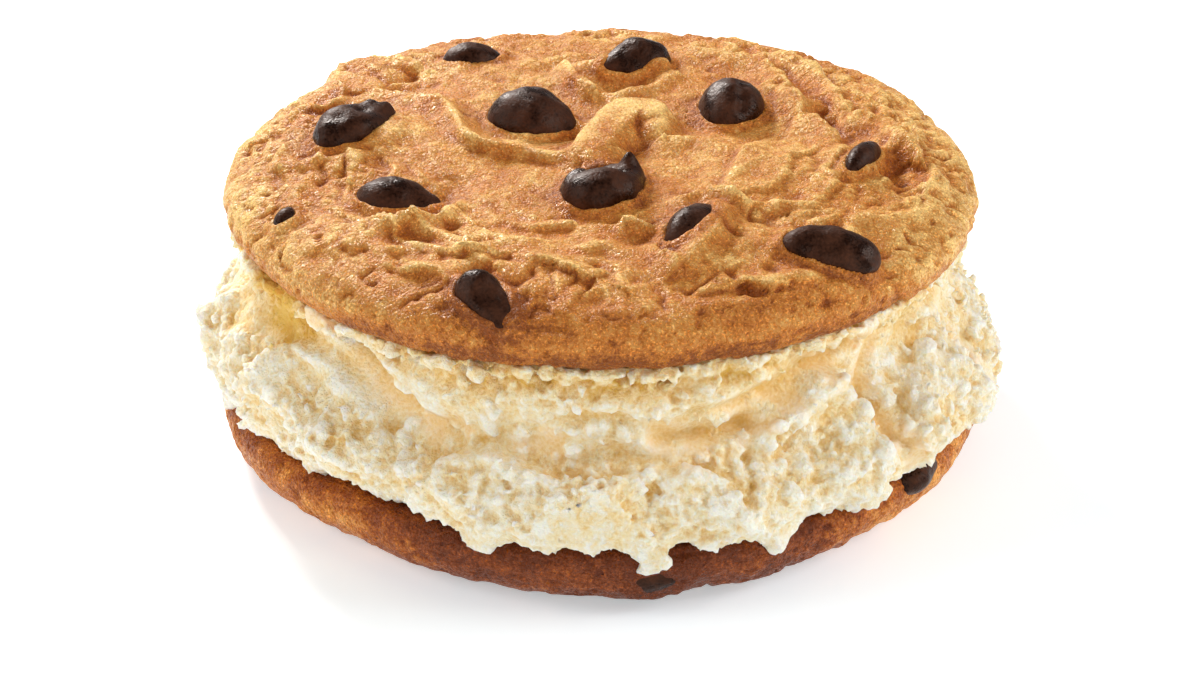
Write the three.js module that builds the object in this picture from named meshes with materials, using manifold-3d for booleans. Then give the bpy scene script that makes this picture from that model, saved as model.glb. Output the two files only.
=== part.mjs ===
// An ice cream sandwich: two round chocolate chip cookies with a thick filling of vanilla ice
// cream pressed between them, so that it bulges past their rims and hangs over the lower one.
//
// Millimetres, +Z up, front towards -Y. The origin is the middle of the flat spot that the lower
// cookie rests on. Both cookies turn their flat baked side to the ice cream and their domed,
// wrinkled side outwards. Angles round the filling are counted from the front, and grow
// towards +X. Every cookie, chip and the filling is its own closed solid, and pieces that touch
// keep GAP between them.
import * as THREE from "three";
import { mergeVertices } from "three/addons/utils/BufferGeometryUtils.js";
import Module from "manifold-3d";

// ---- driving dimensions ------------------------------------------------------------------
const TOP_RADIUS = 45; // a 90 mm cookie
const BOTTOM_RADIUS = 46.8;
const COOKIE_THICKNESS = 8.5;
const FILLING_THICKNESS = 20.8;
const GAP = 0.3;

const TOP_BASE = COOKIE_THICKNESS + FILLING_THICKNESS; // height of the upper cookie's flat side
const WIDEST_HEIGHT = 0.3 * COOKIE_THICKNESS; // a cookie is widest just above its flat side
const CROWN_DROP = 0.5; // the domed side falls this much before its shoulder starts
const TOP_SHOULDER = 12; // width of the rounding between the domed side and the rim
const BOTTOM_SHOULDER = 7;
const TOP_TILT = 0.9; // degrees that the upper cookie leans towards the front
const EDGE_ROUNDING = 2.2; // of the flat side's edge
const REST_RADIUS = 17; // of the flat spot under the lower cookie

const DOME_SHARE = 0.84; // of a cookie's facets, spent on the side that shows
const TOP_DETAIL = 11;
const BOTTOM_DETAIL = 8;
const FILLING_SEGMENTS = 108;
const FRONT_CROWDING = 20; // degrees that the segments are drawn towards the front
const WALL_STEPS = 10;
const CHIP_DETAIL = { large: 2, small: 1 };

// ---- small maths ---------------------------------------------------------------------------
const clamp01 = (x) => Math.min(1, Math.max(0, x));
const smooth = (low, high, x) => {
  const t = clamp01((x - low) / (high - low));
  return t * t * (3 - 2 * t);
};
const mix = (a, b, t) => a + (b - a) * t;
const radians = THREE.MathUtils.degToRad;

// A repeatable number from -1 to 1 for each point of a whole-number lattice.
function latticeValue(ix, iy, iz, seed) {
  let h =
    Math.imul(ix, 0x27d4eb2d) ^ Math.imul(iy, 0x165667b1) ^ Math.imul(iz, 0x9e3779b1) ^ Math.imul(seed, 0x85ebca6b);
  h = Math.imul(h ^ (h >>> 15), 0x2c1b3c6d);
  h = Math.imul(h ^ (h >>> 12), 0x297a2d39);
  return ((h ^ (h >>> 15)) >>> 0) / 2147483647.5 - 1;
}

// Smooth value noise from -1 to 1 over space measured in cells of the given size.
function noise(x, y, z, cell, seed) {
  const [px, py, pz] = [x / cell, y / cell, z / cell];
  const [ix, iy, iz] = [Math.floor(px), Math.floor(py), Math.floor(pz)];
  const ease = (t) => t * t * (3 - 2 * t);
  const [u, v, w] = [ease(px - ix), ease(py - iy), ease(pz - iz)];
  const edge = (j, k) => mix(latticeValue(ix, iy + j, iz + k, seed), latticeValue(ix + 1, iy + j, iz + k, seed), u);
  return mix(mix(edge(0, 0), edge(1, 0), v), mix(edge(0, 1), edge(1, 1), v), w);
}

// A value that changes smoothly round the sandwich: keys are [degrees from the front, value].
function around(keys, degrees) {
  const at = ((degrees % 360) + 360) % 360;
  const sorted = keys.map(([d, v]) => [((d % 360) + 360) % 360, v]).sort((a, b) => a[0] - b[0]);
  let next = sorted.findIndex(([d]) => d > at);
  if (next < 0) next = sorted.length;
  const [d0, v0] = next > 0 ? sorted[next - 1] : [sorted.at(-1)[0] - 360, sorted.at(-1)[1]];
  const [d1, v1] = next < sorted.length ? sorted[next] : [sorted[0][0] + 360, sorted[0][1]];
  return mix(v0, v1, smooth(d0, d1, at));
}

const angleBetween = (a, b) => Math.abs(((a - b + 540) % 360) - 180);

// Signed distance from a point to a line of points, positive on its left, and how far along it is.
function alongPath(x, y, path) {
  let best = { distance: Infinity, share: 0 };
  path.slice(1).forEach(([bx, by], i) => {
    const [ax, ay] = path[i];
    const [dx, dy] = [bx - ax, by - ay];
    const t = clamp01(((x - ax) * dx + (y - ay) * dy) / (dx * dx + dy * dy));
    const [ox, oy] = [x - ax - t * dx, y - ay - t * dy];
    const distance = Math.hypot(ox, oy);
    if (distance < Math.abs(best.distance)) {
      const side = dx * oy - dy * ox >= 0 ? 1 : -1;
      best = { distance: side * distance, share: (i + t) / (path.length - 1) };
    }
  });
  return best;
}

// ---- the baked relief ----------------------------------------------------------------------
// A crest is a fold of dough: a line of points seen from above, its height, and its width on
// the left and right of the line.
const crest = (path, height, left, right) => ({ path, height, left, right });
// A swell is a round rise, or a hollow where its height is negative.
const swell = (at, radius, height) => ({ at, radius, height });

const TOP_CRESTS = [
  crest([[-3.6, -8], [-2.8, -1], [0, 6], [3.6, 9.6], [7.6, 7.4]], 2.3, 1.5, 3.6), // curled flap in the middle
  crest([[-4.2, 20.5], [-3, 15], [-0.6, 11.8]], 1.7, 0.9, 1.3), // upright spike behind it
  crest([[-0.6, 11.8], [2.2, 10.8], [5, 13.5], [8, 17]], 1.1, 1.4, 1.6),
  crest([[-1, 22.6], [3, 22], [6, 22.6], [9, 20]], 1.6, 1.1, 2.4), // dough lapped on the back chip
  crest([[-26, 13], [-20.5, 9.5], [-17.5, 3], [-15.6, -3.4]], 1.3, 2.4, 1.5),
  crest([[-15.6, -3.4], [-12.5, -5.8], [-8.4, -6.2], [-5, -8.4]], 1.5, 2.2, 0.9), // shelf in front of a chip
  crest([[-24, 25.5], [-19.5, 23.4], [-15.5, 24.8], [-12, 24]], 1.3, 1.2, 2.6),
  crest([[-34, -6], [-30.5, -7], [-27, -2], [-24.6, 3.5]], 1.2, 1.1, 2.2),
  crest([[-27, -23.6], [-22.5, -24.2], [-18.4, -22.8]], 1.1, 0.9, 1.8),
  crest([[22, 22], [23.8, 12], [26.6, 3], [29.6, -4]], 1.3, 1.2, 2.6), // right-hand crease's lip
  crest([[12, 29], [17, 25], [24, 26], [27.5, 20]], 1.2, 1.1, 2.4),
  crest([[9, -19.4], [13.5, -18.4], [17, -20.4], [25, -20]], 1.2, 1.3, 1.6),
  crest([[14.6, -22], [13, -28.5], [9.4, -33.6]], 1.3, 1.2, 3.2),
  crest([[19.5, -35.4], [25, -35.6], [31, -32]], 1.0, 1.0, 1.6),
  crest([[33, 2], [36, -3], [38.4, -9], [37, -16]], 1.1, 1.6, 1.6),
];
const TOP_SWELLS = [
  swell([2.2, 17.6], 4.2, -2.2), // pit behind the flap
  swell([-8, 4], 8.5, -1.3), // basins that the large chips lie in
  swell([15, 4], 8, -1.1),
  swell([-17.4, -15], 3.2, -1.5),
  swell([-22.5, -1], 5, 1.0),
  swell([-24.8, 16.5], 1.9, -1.6),
  swell([10.5, -9], 7.5, -0.9), // smooth hollow right of the middle
  swell([6, -27.6], 3, -1.5),
  swell([16, -26.5], 4.5, 0.8),
  swell([27.4, 6.5], 2.4, -1.6),
  swell([-4, -24], 7, -0.6),
  swell([21.5, -9], 6, 0.8),
  swell([36, -9], 2.6, -1.0),
  swell([-34, 27], 5.5, 0.9), // the outline's bump at the back left
];
const BOTTOM_SWELLS = [
  swell([28, 8], 6, 0.8),
  swell([-6, 31], 6, 0.7),
  swell([-27, -14], 6, 0.8),
  swell([9, -39], 9, 0.8), // the rim bellies out at the front
  swell([-30, -31], 10, -0.4),
];

function crestHeight(x, y, { path, height, left, right }) {
  const { distance, share } = alongPath(x, y, path);
  const width = distance > 0 ? left : right;
  const ends = Math.sqrt(Math.sin(Math.PI * mix(0.08, 0.92, share)));
  return height * ends * Math.exp(-((distance / width) ** 2));
}
const swellHeight = (x, y, { at, radius, height }) =>
  height * Math.exp(-((x - at[0]) ** 2 + (y - at[1]) ** 2) / radius ** 2);
const sumOf = (list, heightOf) => list.reduce((sum, one) => sum + heightOf(one), 0);

// Wrinkles and cracks of the baked skin: strongest in a ring inside the rim.
function wrinkles(x, y, seed) {
  const radius = Math.hypot(x, y);
  const ring = smooth(14, 30, radius) * (1 - 0.7 * smooth(38, 44, radius));
  const warp = 2.2 * noise(x, y, 0, 9, seed + 1);
  const fold = 1 - Math.abs(noise(x + warp, y - warp, 3.7, 5.2, seed + 2));
  return (0.25 + 0.75 * ring) * 1.1 * (fold - 0.75) + 0.45 * noise(x, y, 1.3, 11, seed + 3);
}

const topRelief = (x, y) =>
  sumOf(TOP_CRESTS, (c) => crestHeight(x, y, c)) +
  sumOf(TOP_SWELLS, (s) => swellHeight(x, y, s)) +
  wrinkles(x, y, 11);

// The dough of the lower cookie sinks a little round each chip, so that none stands below it.
const CHIP_DIMPLE = -1.1;
const dimple = ({ at, size }) => swell(at, 0.7 * size[0], CHIP_DIMPLE);
const bottomRelief = (x, y) =>
  sumOf([...BOTTOM_SWELLS, ...BOTTOM_CHIPS.map(dimple)], (s) => swellHeight(x, y, s)) + wrinkles(x, y, 47);

// How far each cookie's outline wanders from a circle: [degrees from the front, mm].
const TOP_OUTLINE = [
  [0, 0.3], [30, 0], [60, 0.4], [85, 0.5], [110, -0.2], [150, 0.4], [172, -1.2], [190, -1.2], [205, 0.9],
  [220, 0.3], [229, 1.1], [238, -1.5], [256, 0.3], [275, 0], [300, -0.6], [325, 0.1],
];
const BOTTOM_OUTLINE = [
  [2, 1.4], [18, 1.1], [30, 0.6], [45, 0.7], [60, 0.7], [90, 0.6], [140, -0.2], [185, 0.5], [230, -0.3], [270, 0.4],
  [300, 0.1], [320, -0.6], [342, 0.5],
];
const outlineAt = (keys) => (x, y) => around(keys, 90 + THREE.MathUtils.radToDeg(Math.atan2(y, x)));

// ---- cookies ---------------------------------------------------------------------------------
// A ball of even facets with its shared corners merged.
function ballGeometry(detail) {
  const ball = new THREE.IcosahedronGeometry(1, detail);
  ball.deleteAttribute("normal");
  ball.deleteAttribute("uv");
  return mergeVertices(ball, 1e-5);
}
const BALL_TURN = 0.37; // radians, so that no row of facets lies along an axis

// Half of a cookie's section, flat side down, from the middle of the dome out over the rim and
// back under it, and the share of its length where the flat side starts.
function cookieSection(radius, shoulder) {
  const crown = COOKIE_THICKNESS - CROWN_DROP;
  const dome = new THREE.Path()
    .moveTo(0, COOKIE_THICKNESS)
    .quadraticCurveTo(0.55 * (radius - shoulder), COOKIE_THICKNESS, radius - shoulder, crown)
    .absellipse(radius - shoulder, WIDEST_HEIGHT, shoulder, crown - WIDEST_HEIGHT, Math.PI / 2, 0, true)
    .absellipse(radius - EDGE_ROUNDING, WIDEST_HEIGHT, EDGE_ROUNDING, WIDEST_HEIGHT, 0, -Math.PI / 2, true);
  const domeLength = dome.getLength();
  dome.lineTo(0, 0);
  return { line: dome, flatStart: domeLength / dome.getLength() };
}

// A cookie with its flat side on z = 0 and its dome up. A ball of even facets is laid over the
// section, so that the facets stay even, and each point is then raised by the relief.
function cookieGeometry({ radius, shoulder, detail, outline, relief, restRadius = 0 }) {
  const { line, flatStart } = cookieSection(radius, shoulder);
  line.arcLengthDivisions = 800;
  line.updateArcLengths();
  const geometry = ballGeometry(detail).rotateZ(BALL_TURN);
  const position = geometry.getAttribute("position");
  const p = new THREE.Vector3();
  for (let i = 0; i < position.count; i++) {
    p.fromBufferAttribute(position, i).normalize();
    const area = (1 - p.z) / 2;
    const onDome = area < DOME_SHARE;
    const share = onDome
      ? flatStart * Math.sqrt(area / DOME_SHARE)
      : 1 - (1 - flatStart) * Math.sqrt((1 - area) / (1 - DOME_SHARE));
    const section = line.getPointAt(share);
    const tangent = line.getTangentAt(share);
    const angle = Math.atan2(p.y, p.x);
    const reach = section.x + outline(p.x, p.y) * smooth(0.5 * radius, radius, section.x);
    const [x, y] = [reach * Math.cos(angle), reach * Math.sin(angle)];
    const rise = onDome ? relief(x, y) * (1 - smooth(0.8 * flatStart, flatStart, share)) : 0;
    const settled = restRadius ? smooth(restRadius, restRadius + 7, Math.hypot(x, y)) : 1;
    const out = reach - tangent.y * rise;
    const up = section.y + tangent.x * rise;
    const level = restRadius ? Math.min(COOKIE_THICKNESS, mix(COOKIE_THICKNESS, up, settled)) : up;
    position.setXYZ(i, out * Math.cos(angle), out * Math.sin(angle), level);
  }
  return geometry;
}

// The height and the slope of a cookie's dome at a point, before the relief.
function domeAt(x, y, radius, shoulder) {
  const reach = Math.hypot(x, y);
  const into = clamp01((reach - (radius - shoulder)) / shoulder);
  const crown = COOKIE_THICKNESS - CROWN_DROP - WIDEST_HEIGHT;
  const fall = CROWN_DROP * clamp01(reach / (radius - shoulder)) ** 2;
  const height = into > 0 ? WIDEST_HEIGHT + crown * Math.sqrt(1 - into ** 2) : COOKIE_THICKNESS - fall;
  const slope = into > 0 ? (crown * into) / (shoulder * Math.sqrt(Math.max(0.02, 1 - into ** 2))) : 0;
  return { height, tilt: Math.atan(slope), facing: Math.atan2(y, x) };
}

// ---- chocolate chips -------------------------------------------------------------------------
// Each chip is a drop: at = its middle on the cookie seen from above, size = length, width and
// height, yaw = where its point looks, in degrees from +X, tip = how pointed it is, and
// stands = how far its top is above the dough.
const chip = (name, at, size, yaw, tip, stands) => ({ name, at, size, yaw, tip, stands });

const TOP_CHIPS = [
  chip("top_chip_01", [-16.4, 26.4], [7.9, 5.8, 4.4], 5, 0.3, 1.6),
  chip("top_chip_02", [4.6, 24], [9.6, 7.8, 5.6], 205, 0.6, 3.2),
  chip("top_chip_03", [-28.9, 0.8], [13.2, 8.2, 6.2], 50, 0.55, 3.6),
  chip("top_chip_04", [-7.9, 6.2], [11.8, 10.8, 7.4], -28, 0.45, 4.6),
  chip("top_chip_05", [16.1, 8.6], [9.9, 8.8, 7.2], 250, 0.35, 4.5),
  chip("top_chip_06", [30.5, -8], [8.8, 3.2, 3.2], 62, 0.1, 1.1),
  chip("top_chip_07", [-22.8, -16.7], [10.2, 7.8, 5.4], -12, 0.6, 2.8),
  chip("top_chip_08", [1, -14.7], [12.2, 9.8, 6.6], 55, 0.5, 3.9),
  chip("top_chip_09", [10.4, -25.7], [10.2, 5.8, 5], 58, 0.25, 2.2),
  chip("top_chip_10", [25.6, -29.2], [11.3, 7.6, 5.4], 172, 0.3, 2.5),
  chip("top_chip_11", [-12, -40.2], [10.8, 5.8, 4.4], -52, 0.6, 0.8),
  chip("top_chip_12", [-35.7, -19.2], [3.7, 2.6, 2.4], 70, 0.2, 0.5),
];
// On the lower cookie, seen from above too; its dome looks down.
const BOTTOM_CHIPS = [
  chip("bottom_chip_01", [41.6, 14], [9, 5.4, 4.4], 80, 0.4, 0.7),
  chip("bottom_chip_02", [6.5, -45.3], [9.8, 4.8, 4.2], 5, 0.4, 1.1),
  chip("bottom_chip_03", [24.5, 27.5], [9.6, 8.4, 5], 20, 0.5, 1.2),
  chip("bottom_chip_04", [-24.5, 30], [8, 6.6, 4.6], 200, 0.5, 1.2),
  chip("bottom_chip_05", [-31, -8.5], [9.4, 7, 5], 110, 0.55, 1.2),
  chip("bottom_chip_06", [24, -22.5], [8.8, 7.6, 5], -60, 0.4, 1.2),
  chip("bottom_chip_07", [-40.5, -17.5], [7.4, 4.6, 4], 250, 0.4, 0.7),
  chip("bottom_chip_08", [-13, 42], [8.2, 4.8, 4.2], 10, 0.4, 0.7),
];
// The chip whose edge shows where the ice cream meets the lower cookie's flat side.
const EDGE_CHIP = { name: "bottom_chip_09", angle: 52, reach: 44.8, size: [8.4, 5.2, 4.6], tip: 0.4 };

// A drop along +X: a ball drawn in towards its point.
function dropGeometry([length, width, height], tip, detail, grow = 0) {
  const geometry = ballGeometry(detail);
  const position = geometry.getAttribute("position");
  for (let i = 0; i < position.count; i++) {
    const [x, y, z] = [position.getX(i), position.getY(i), position.getZ(i)];
    const draw = 1 - 0.5 * tip * (1 + x) ** 2 * 0.5;
    position.setXYZ(i, x * (length / 2 + grow), y * draw * (width / 2 + grow), z * draw * (height / 2 + grow));
  }
  return geometry;
}

// Moves a drop to its place on a dome of the given cookie, before that cookie is set in its own.
function onDome(geometry, { at, size, yaw, stands }, { radius, shoulder, relief, ceiling }) {
  const { height, tilt, facing } = domeAt(at[0], at[1], radius, shoulder);
  const settle = relief(at[0], at[1]) * (1 - smooth(0.6, 1.2, tilt));
  const slopeAxis = new THREE.Vector3(-Math.sin(facing), Math.cos(facing), 0);
  const normal = new THREE.Vector3(0, 0, 1).applyAxisAngle(slopeAxis, tilt);
  const surface = new THREE.Vector3(at[0], at[1], height).addScaledVector(normal, settle);
  const middle = surface.addScaledVector(normal, stands - size[2] / 2);
  middle.z = Math.min(middle.z, ceiling - size[2] / 2);
  geometry.rotateZ(radians(yaw));
  geometry.applyQuaternion(new THREE.Quaternion().setFromAxisAngle(slopeAxis, tilt));
  return geometry.translate(middle.x, middle.y, middle.z);
}

const chipDetail = ({ stands }) => (stands > 1.4 ? CHIP_DETAIL.large : CHIP_DETAIL.small);

// ---- ice cream --------------------------------------------------------------------------------
// The wall of the filling as values round it: [degrees from the front, value].
const TOP_REACH = [[-180, 42], [-90, 42], [-50, 42], [0, 42.2], [50, 42.4], [90, 42]];
const UPPER_REACH = [
  [-180, 42.6], [-120, 42.3], [-88, 42.4], [-66, 43], [-50, 42.6], [-25, 43.2], [0, 43.8], [30, 43.4],
  [60, 43.2], [88, 42.7], [120, 42.4],
];
const GROOVE_HEIGHT = [
  [-180, 20], [-130, 21], [-85, 23], [-60, 23.5], [-45, 20], [-30, 17.4], [-12, 16.4], [6, 16],
  [20, 16.8], [38, 19], [56, 21.4], [80, 22], [130, 20],
];
const GROOVE_REACH = [
  [-180, 43.2], [-130, 42.8], [-88, 42.7], [-60, 43], [-45, 42.4], [-30, 42.8], [-12, 44.6], [6, 45],
  [20, 44.4], [38, 43.6], [56, 43.6], [88, 42.9], [130, 42.8],
];
const SHOULDER_REACH = [
  [-180, 46.2], [-130, 45.5], [-88, 45.7], [-62, 46.8], [-42, 47.4], [-26, 46], [-10, 47.6], [6, 48.2],
  [20, 47.4], [45, 47.2], [66, 46.8], [88, 45.8], [130, 45.8],
];
const LIP_REACH = [
  [-180, 48.4], [-130, 48], [-86, 48.1], [-66, 47.6], [-40, 46.4], [-27, 46], [-14, 48.8], [5, 49.4],
  [20, 48.8], [45, 48.8], [66, 49.4], [84, 49.4], [110, 48.6], [145, 48.2],
];
const LIP_HEIGHT = [
  [-180, 9.6], [-140, 10], [-86, 9.8], [-68, 11.4], [-54, 11.4], [-40, 10.6], [-27, 10.6], [-17, 10],
  [0, 10.2], [18, 9.8], [50, 10.4], [62, 10], [82, 9], [115, 10], [150, 9.6],
];
const FOOT_REACH = [
  [-180, 44.4], [-84, 44.8], [-62, 43.6], [-40, 42.6], [-27, 42.4], [-14, 44.2], [40, 44.4], [90, 44.8],
  [140, 44],
];
// Tongues that hang from the lip: [degrees, drop, half width in degrees].
const FRONT_TONGUES = [
  [-15.6, 3.2, 2.6], [-7.2, 1.6, 2], [-2.2, 1.3, 1.6], [1.8, 1.2, 1.6], [6.3, 3.8, 2.6], [13.5, 2.2, 3],
  [23.6, 2.2, 2.2], [32, 1, 2], [38, 1.4, 2.6], [48, 0.9, 2.4], [72, 2.4, 4.4],
];
const BACK_TONGUES = { from: 100, to: 285, step: 13, drop: 2.4, halfWidth: 3.4, seed: 5 };
const backTongues = () => {
  const made = [];
  for (let d = BACK_TONGUES.from; d <= BACK_TONGUES.to; d += BACK_TONGUES.step) {
    const draw = (k) => (latticeValue(d, k, 0, BACK_TONGUES.seed) + 1) / 2;
    made.push([d + 6 * draw(1), BACK_TONGUES.drop * draw(2) ** 2, BACK_TONGUES.halfWidth * mix(0.6, 1.2, draw(3))]);
  }
  return made;
};
const TONGUES = [...FRONT_TONGUES, ...backTongues()];
// Lumps on the wall: [degrees, height, radius in mm, how far it stands out].
const LUMPS = [
  [-42, 16.5, 6.5, 1.2], [-66, 18, 5, 0.8], [-24, 22, 5, 0.7], [48, 14.5, 5, 1], [66, 17, 4.5, 0.9],
  [84, 20, 4.5, 0.5], [16, 21.5, 5, 0.8], [-100, 17, 6, 0.6], [125, 16, 6, 0.9], [165, 20, 6, 0.8],
  [205, 15, 6, 1],
];
const LUMP_CELLS = [{ cell: 7.5, height: 0.8 }, { cell: 3.4, height: 0.5 }];

const tongueDrop = (degrees) =>
  sumOf(TONGUES, ([at, drop, half]) => drop * Math.exp(-((angleBetween(degrees, at) / half) ** 2)));

function lumpiness(x, y, z, degrees, reach) {
  const named = sumOf(LUMPS, ([at, height, radius, out]) => {
    const across = radians(angleBetween(degrees, at)) * reach;
    return out * Math.exp(-(across ** 2 + (z - height) ** 2) / radius ** 2);
  });
  return LUMP_CELLS.reduce((sum, c, i) => sum + c.height * noise(x, y, z, c.cell, 71 + i), named);
}

// The filling's section at one angle: points from the middle of its top, down the wall to the
// hanging lip, back under it past the lower cookie's rim, and in to the middle of its underside.
function fillingSection(degrees) {
  const angle = radians(degrees);
  const ceiling = (reach) => TOP_BASE - GAP - Math.tan(radians(TOP_TILT)) * reach * Math.cos(angle);
  const floor = COOKIE_THICKNESS + GAP;
  const grooveHeight = around(GROOVE_HEIGHT, degrees);
  const drop = tongueDrop(degrees);
  const lipHeight = around(LIP_HEIGHT, degrees) - drop;
  const lipReach = around(LIP_REACH, degrees) + 0.12 * drop;
  const footReach = around(FOOT_REACH, degrees);
  const groove = new THREE.Vector2(around(GROOVE_REACH, degrees), grooveHeight);
  const topReach = around(TOP_REACH, degrees);
  const wall = new THREE.SplineCurve([
    new THREE.Vector2(topReach, ceiling(topReach)),
    new THREE.Vector2(around(UPPER_REACH, degrees), mix(ceiling(topReach), grooveHeight, 0.4)),
    groove,
    new THREE.Vector2(around(SHOULDER_REACH, degrees), mix(grooveHeight, lipHeight, 0.3)),
    new THREE.Vector2(lipReach, mix(grooveHeight, lipHeight, 0.7)),
    new THREE.Vector2(lipReach - 0.9, lipHeight),
  ]);
  const points = wall.getPoints(WALL_STEPS).map((point, i) => {
    const [x, y] = [point.x * Math.sin(angle), -point.x * Math.cos(angle)];
    const free = smooth(0, 2.4, i) * (1 - smooth(WALL_STEPS - 1.2, WALL_STEPS, i));
    return new THREE.Vector2(point.x + free * lumpiness(x, y, point.y, degrees, point.x), point.y);
  });
  // Where the lip hangs below the lower cookie's edge, its inside follows that cookie's rim.
  const resting = smooth(floor - 0.2, floor + 0.6, lipHeight);
  const rim = BOTTOM_RADIUS + around(BOTTOM_OUTLINE, degrees) + GAP + 0.15;
  const tip = points.at(-1);
  const hanging = [[rim, mix(lipHeight, floor, 0.3)], [rim - 0.35, floor - 0.9], [rim - 1.4, floor + 0.05]];
  hanging.forEach(([reach, height], i) => {
    const t = (i + 1) / 4;
    const restingPoint = new THREE.Vector2(mix(tip.x, footReach, t), mix(tip.y, floor, smooth(0, 1, t)));
    points.push(new THREE.Vector2(reach, height).lerp(restingPoint, resting));
  });
  const foot = new THREE.Vector2(footReach, floor);
  return [new THREE.Vector2(0, ceiling(0)), ...points, foot, new THREE.Vector2(0, floor)];
}

function fillingGeometry() {
  const count = fillingSection(0).length;
  const lathe = new THREE.LatheGeometry(fillingSection(0), FILLING_SEGMENTS);
  lathe.deleteAttribute("normal");
  lathe.deleteAttribute("uv");
  const position = lathe.getAttribute("position");
  for (let i = 0; i <= FILLING_SEGMENTS; i++) {
    const turn = (i % FILLING_SEGMENTS) / FILLING_SEGMENTS;
    const degrees = 360 * turn - FRONT_CROWDING * Math.sin(2 * Math.PI * turn);
    fillingSection(degrees).forEach(({ x, y }, j) => {
      const angle = radians(degrees);
      position.setXYZ(i * count + j, x * Math.sin(angle), -x * Math.cos(angle), y);
    });
  }
  return mergeVertices(lathe, 1e-4);
}

// ---- joining and cutting -----------------------------------------------------------------------
const wasm = await Module();
wasm.setup();

// Booleans drop edges shorter than this, so that a cut leaves no slivers.
const CUT_TOLERANCE = 0.02;

function solidOf(geometry) {
  const merged = mergeVertices(geometry, 1e-4);
  const vertProperties = new Float32Array(merged.getAttribute("position").array);
  const triVerts = new Uint32Array(merged.index.array);
  const mesh = { numProp: 3, vertProperties, triVerts, tolerance: CUT_TOLERANCE };
  const shape = () => new wasm.Manifold(new wasm.Mesh(mesh));
  if (shape().volume() < 0) triVerts.reverse();
  return shape();
}

// The largest body of a solid as a geometry: cutting a pocket can leave loose scraps of dough.
function geometryOf(solid) {
  const whole = solid.decompose().reduce((a, b) => (b.volume() > a.volume() ? b : a));
  const mesh = whole.getMesh();
  return new THREE.BufferGeometry()
    .setAttribute("position", new THREE.BufferAttribute(new Float32Array(mesh.vertProperties), 3))
    .setIndex(new THREE.BufferAttribute(new Uint32Array(mesh.triVerts), 1));
}

// ---- building the sandwich ------------------------------------------------------------------------
const crustMaterial = new THREE.MeshStandardMaterial({ color: 0xd9a05f, roughness: 0.78, metalness: 0 });
const creamMaterial = new THREE.MeshStandardMaterial({ color: 0xf4e6c0, roughness: 0.55, metalness: 0 });
const chocolateMaterial = new THREE.MeshStandardMaterial({ color: 0x33201b, roughness: 0.38, metalness: 0 });

const sandwich = new THREE.Group();
function add(name, geometry, material) {
  geometry.computeVertexNormals();
  const mesh = new THREE.Mesh(geometry, material);
  mesh.name = name;
  sandwich.add(mesh);
}

const placements = {
  top: {
    radius: TOP_RADIUS,
    shoulder: TOP_SHOULDER,
    relief: topRelief,
    ceiling: Infinity,
    set: (g) => g.rotateX(radians(TOP_TILT)).translate(0, 0, TOP_BASE),
  },
  bottom: {
    radius: BOTTOM_RADIUS,
    shoulder: BOTTOM_SHOULDER,
    relief: (x, y) => bottomRelief(x, -y),
    ceiling: COOKIE_THICKNESS - 0.1, // so that the sandwich rests on dough
    set: (g) => g.rotateX(Math.PI).translate(0, 0, COOKIE_THICKNESS),
  },
};

// A chip on a dome, or that chip grown by the gap, which is the pocket it lies in.
function placedChip(one, where, grow) {
  const drop = dropGeometry(one.size, one.tip, chipDetail(one), grow);
  return placements[where].set(onDome(drop, one, placements[where]));
}

// The lower cookie is turned over, so what is placed by the view from above is mirrored in y first.
const mirrored = (one) => ({ ...one, at: [one.at[0], -one.at[1]], yaw: -one.yaw });

function edgeChip(grow) {
  const { angle, reach, size, tip } = EDGE_CHIP;
  const at = radians(angle);
  return dropGeometry(size, tip, CHIP_DETAIL.large, grow)
    .rotateX(radians(-20))
    .rotateZ(at)
    .translate(reach * Math.sin(at), -reach * Math.cos(at), COOKIE_THICKNESS - 1.1);
}

const topChips = TOP_CHIPS.map((one) => ({ one, where: "top" }));
const bottomChips = BOTTOM_CHIPS.map((one) => ({ one: mirrored(one), where: "bottom" }));

const topCookie = topChips.reduce(
  (dough, { one, where }) => dough.subtract(solidOf(placedChip(one, where, GAP))),
  solidOf(
    placements.top.set(
      cookieGeometry({
        radius: TOP_RADIUS,
        shoulder: TOP_SHOULDER,
        detail: TOP_DETAIL,
        outline: outlineAt(TOP_OUTLINE),
        relief: topRelief,
      }),
    ),
  ),
);
const bottomCookie = bottomChips
  .reduce(
    (dough, { one, where }) => dough.subtract(solidOf(placedChip(one, where, GAP))),
    solidOf(
      placements.bottom.set(
        cookieGeometry({
          radius: BOTTOM_RADIUS,
          shoulder: BOTTOM_SHOULDER,
          detail: BOTTOM_DETAIL,
          outline: (x, y) => outlineAt(BOTTOM_OUTLINE)(x, -y),
          relief: placements.bottom.relief,
          restRadius: REST_RADIUS,
        }),
      ),
    ),
  )
  .subtract(solidOf(edgeChip(GAP)));

add("top_cookie", geometryOf(topCookie), crustMaterial);
add("bottom_cookie", geometryOf(bottomCookie), crustMaterial);
add("ice_cream", geometryOf(solidOf(fillingGeometry()).subtract(solidOf(edgeChip(GAP)))), creamMaterial);
for (const { one, where } of [...topChips, ...bottomChips]) {
  add(one.name, placedChip(one, where, 0), chocolateMaterial);
}
add(EDGE_CHIP.name, edgeChip(0), chocolateMaterial);

export default sandwich;
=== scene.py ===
# %% [markdown]
# # An ice cream sandwich
#
# Two soft chocolate chip cookies hold a thick slab of scooped vanilla ice cream that bulges past
# their rims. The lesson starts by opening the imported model, whose solids fix every place and
# size. Each solid is then dressed by a finer piece: the dough gets its folds and cracks, the
# ice cream its torn crumb, and the chocolate its dull bloom.

# %% Opening the frame
import math

import bmesh
import bpy
import numpy as np
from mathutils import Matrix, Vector
from mathutils.bvhtree import BVHTree


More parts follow.
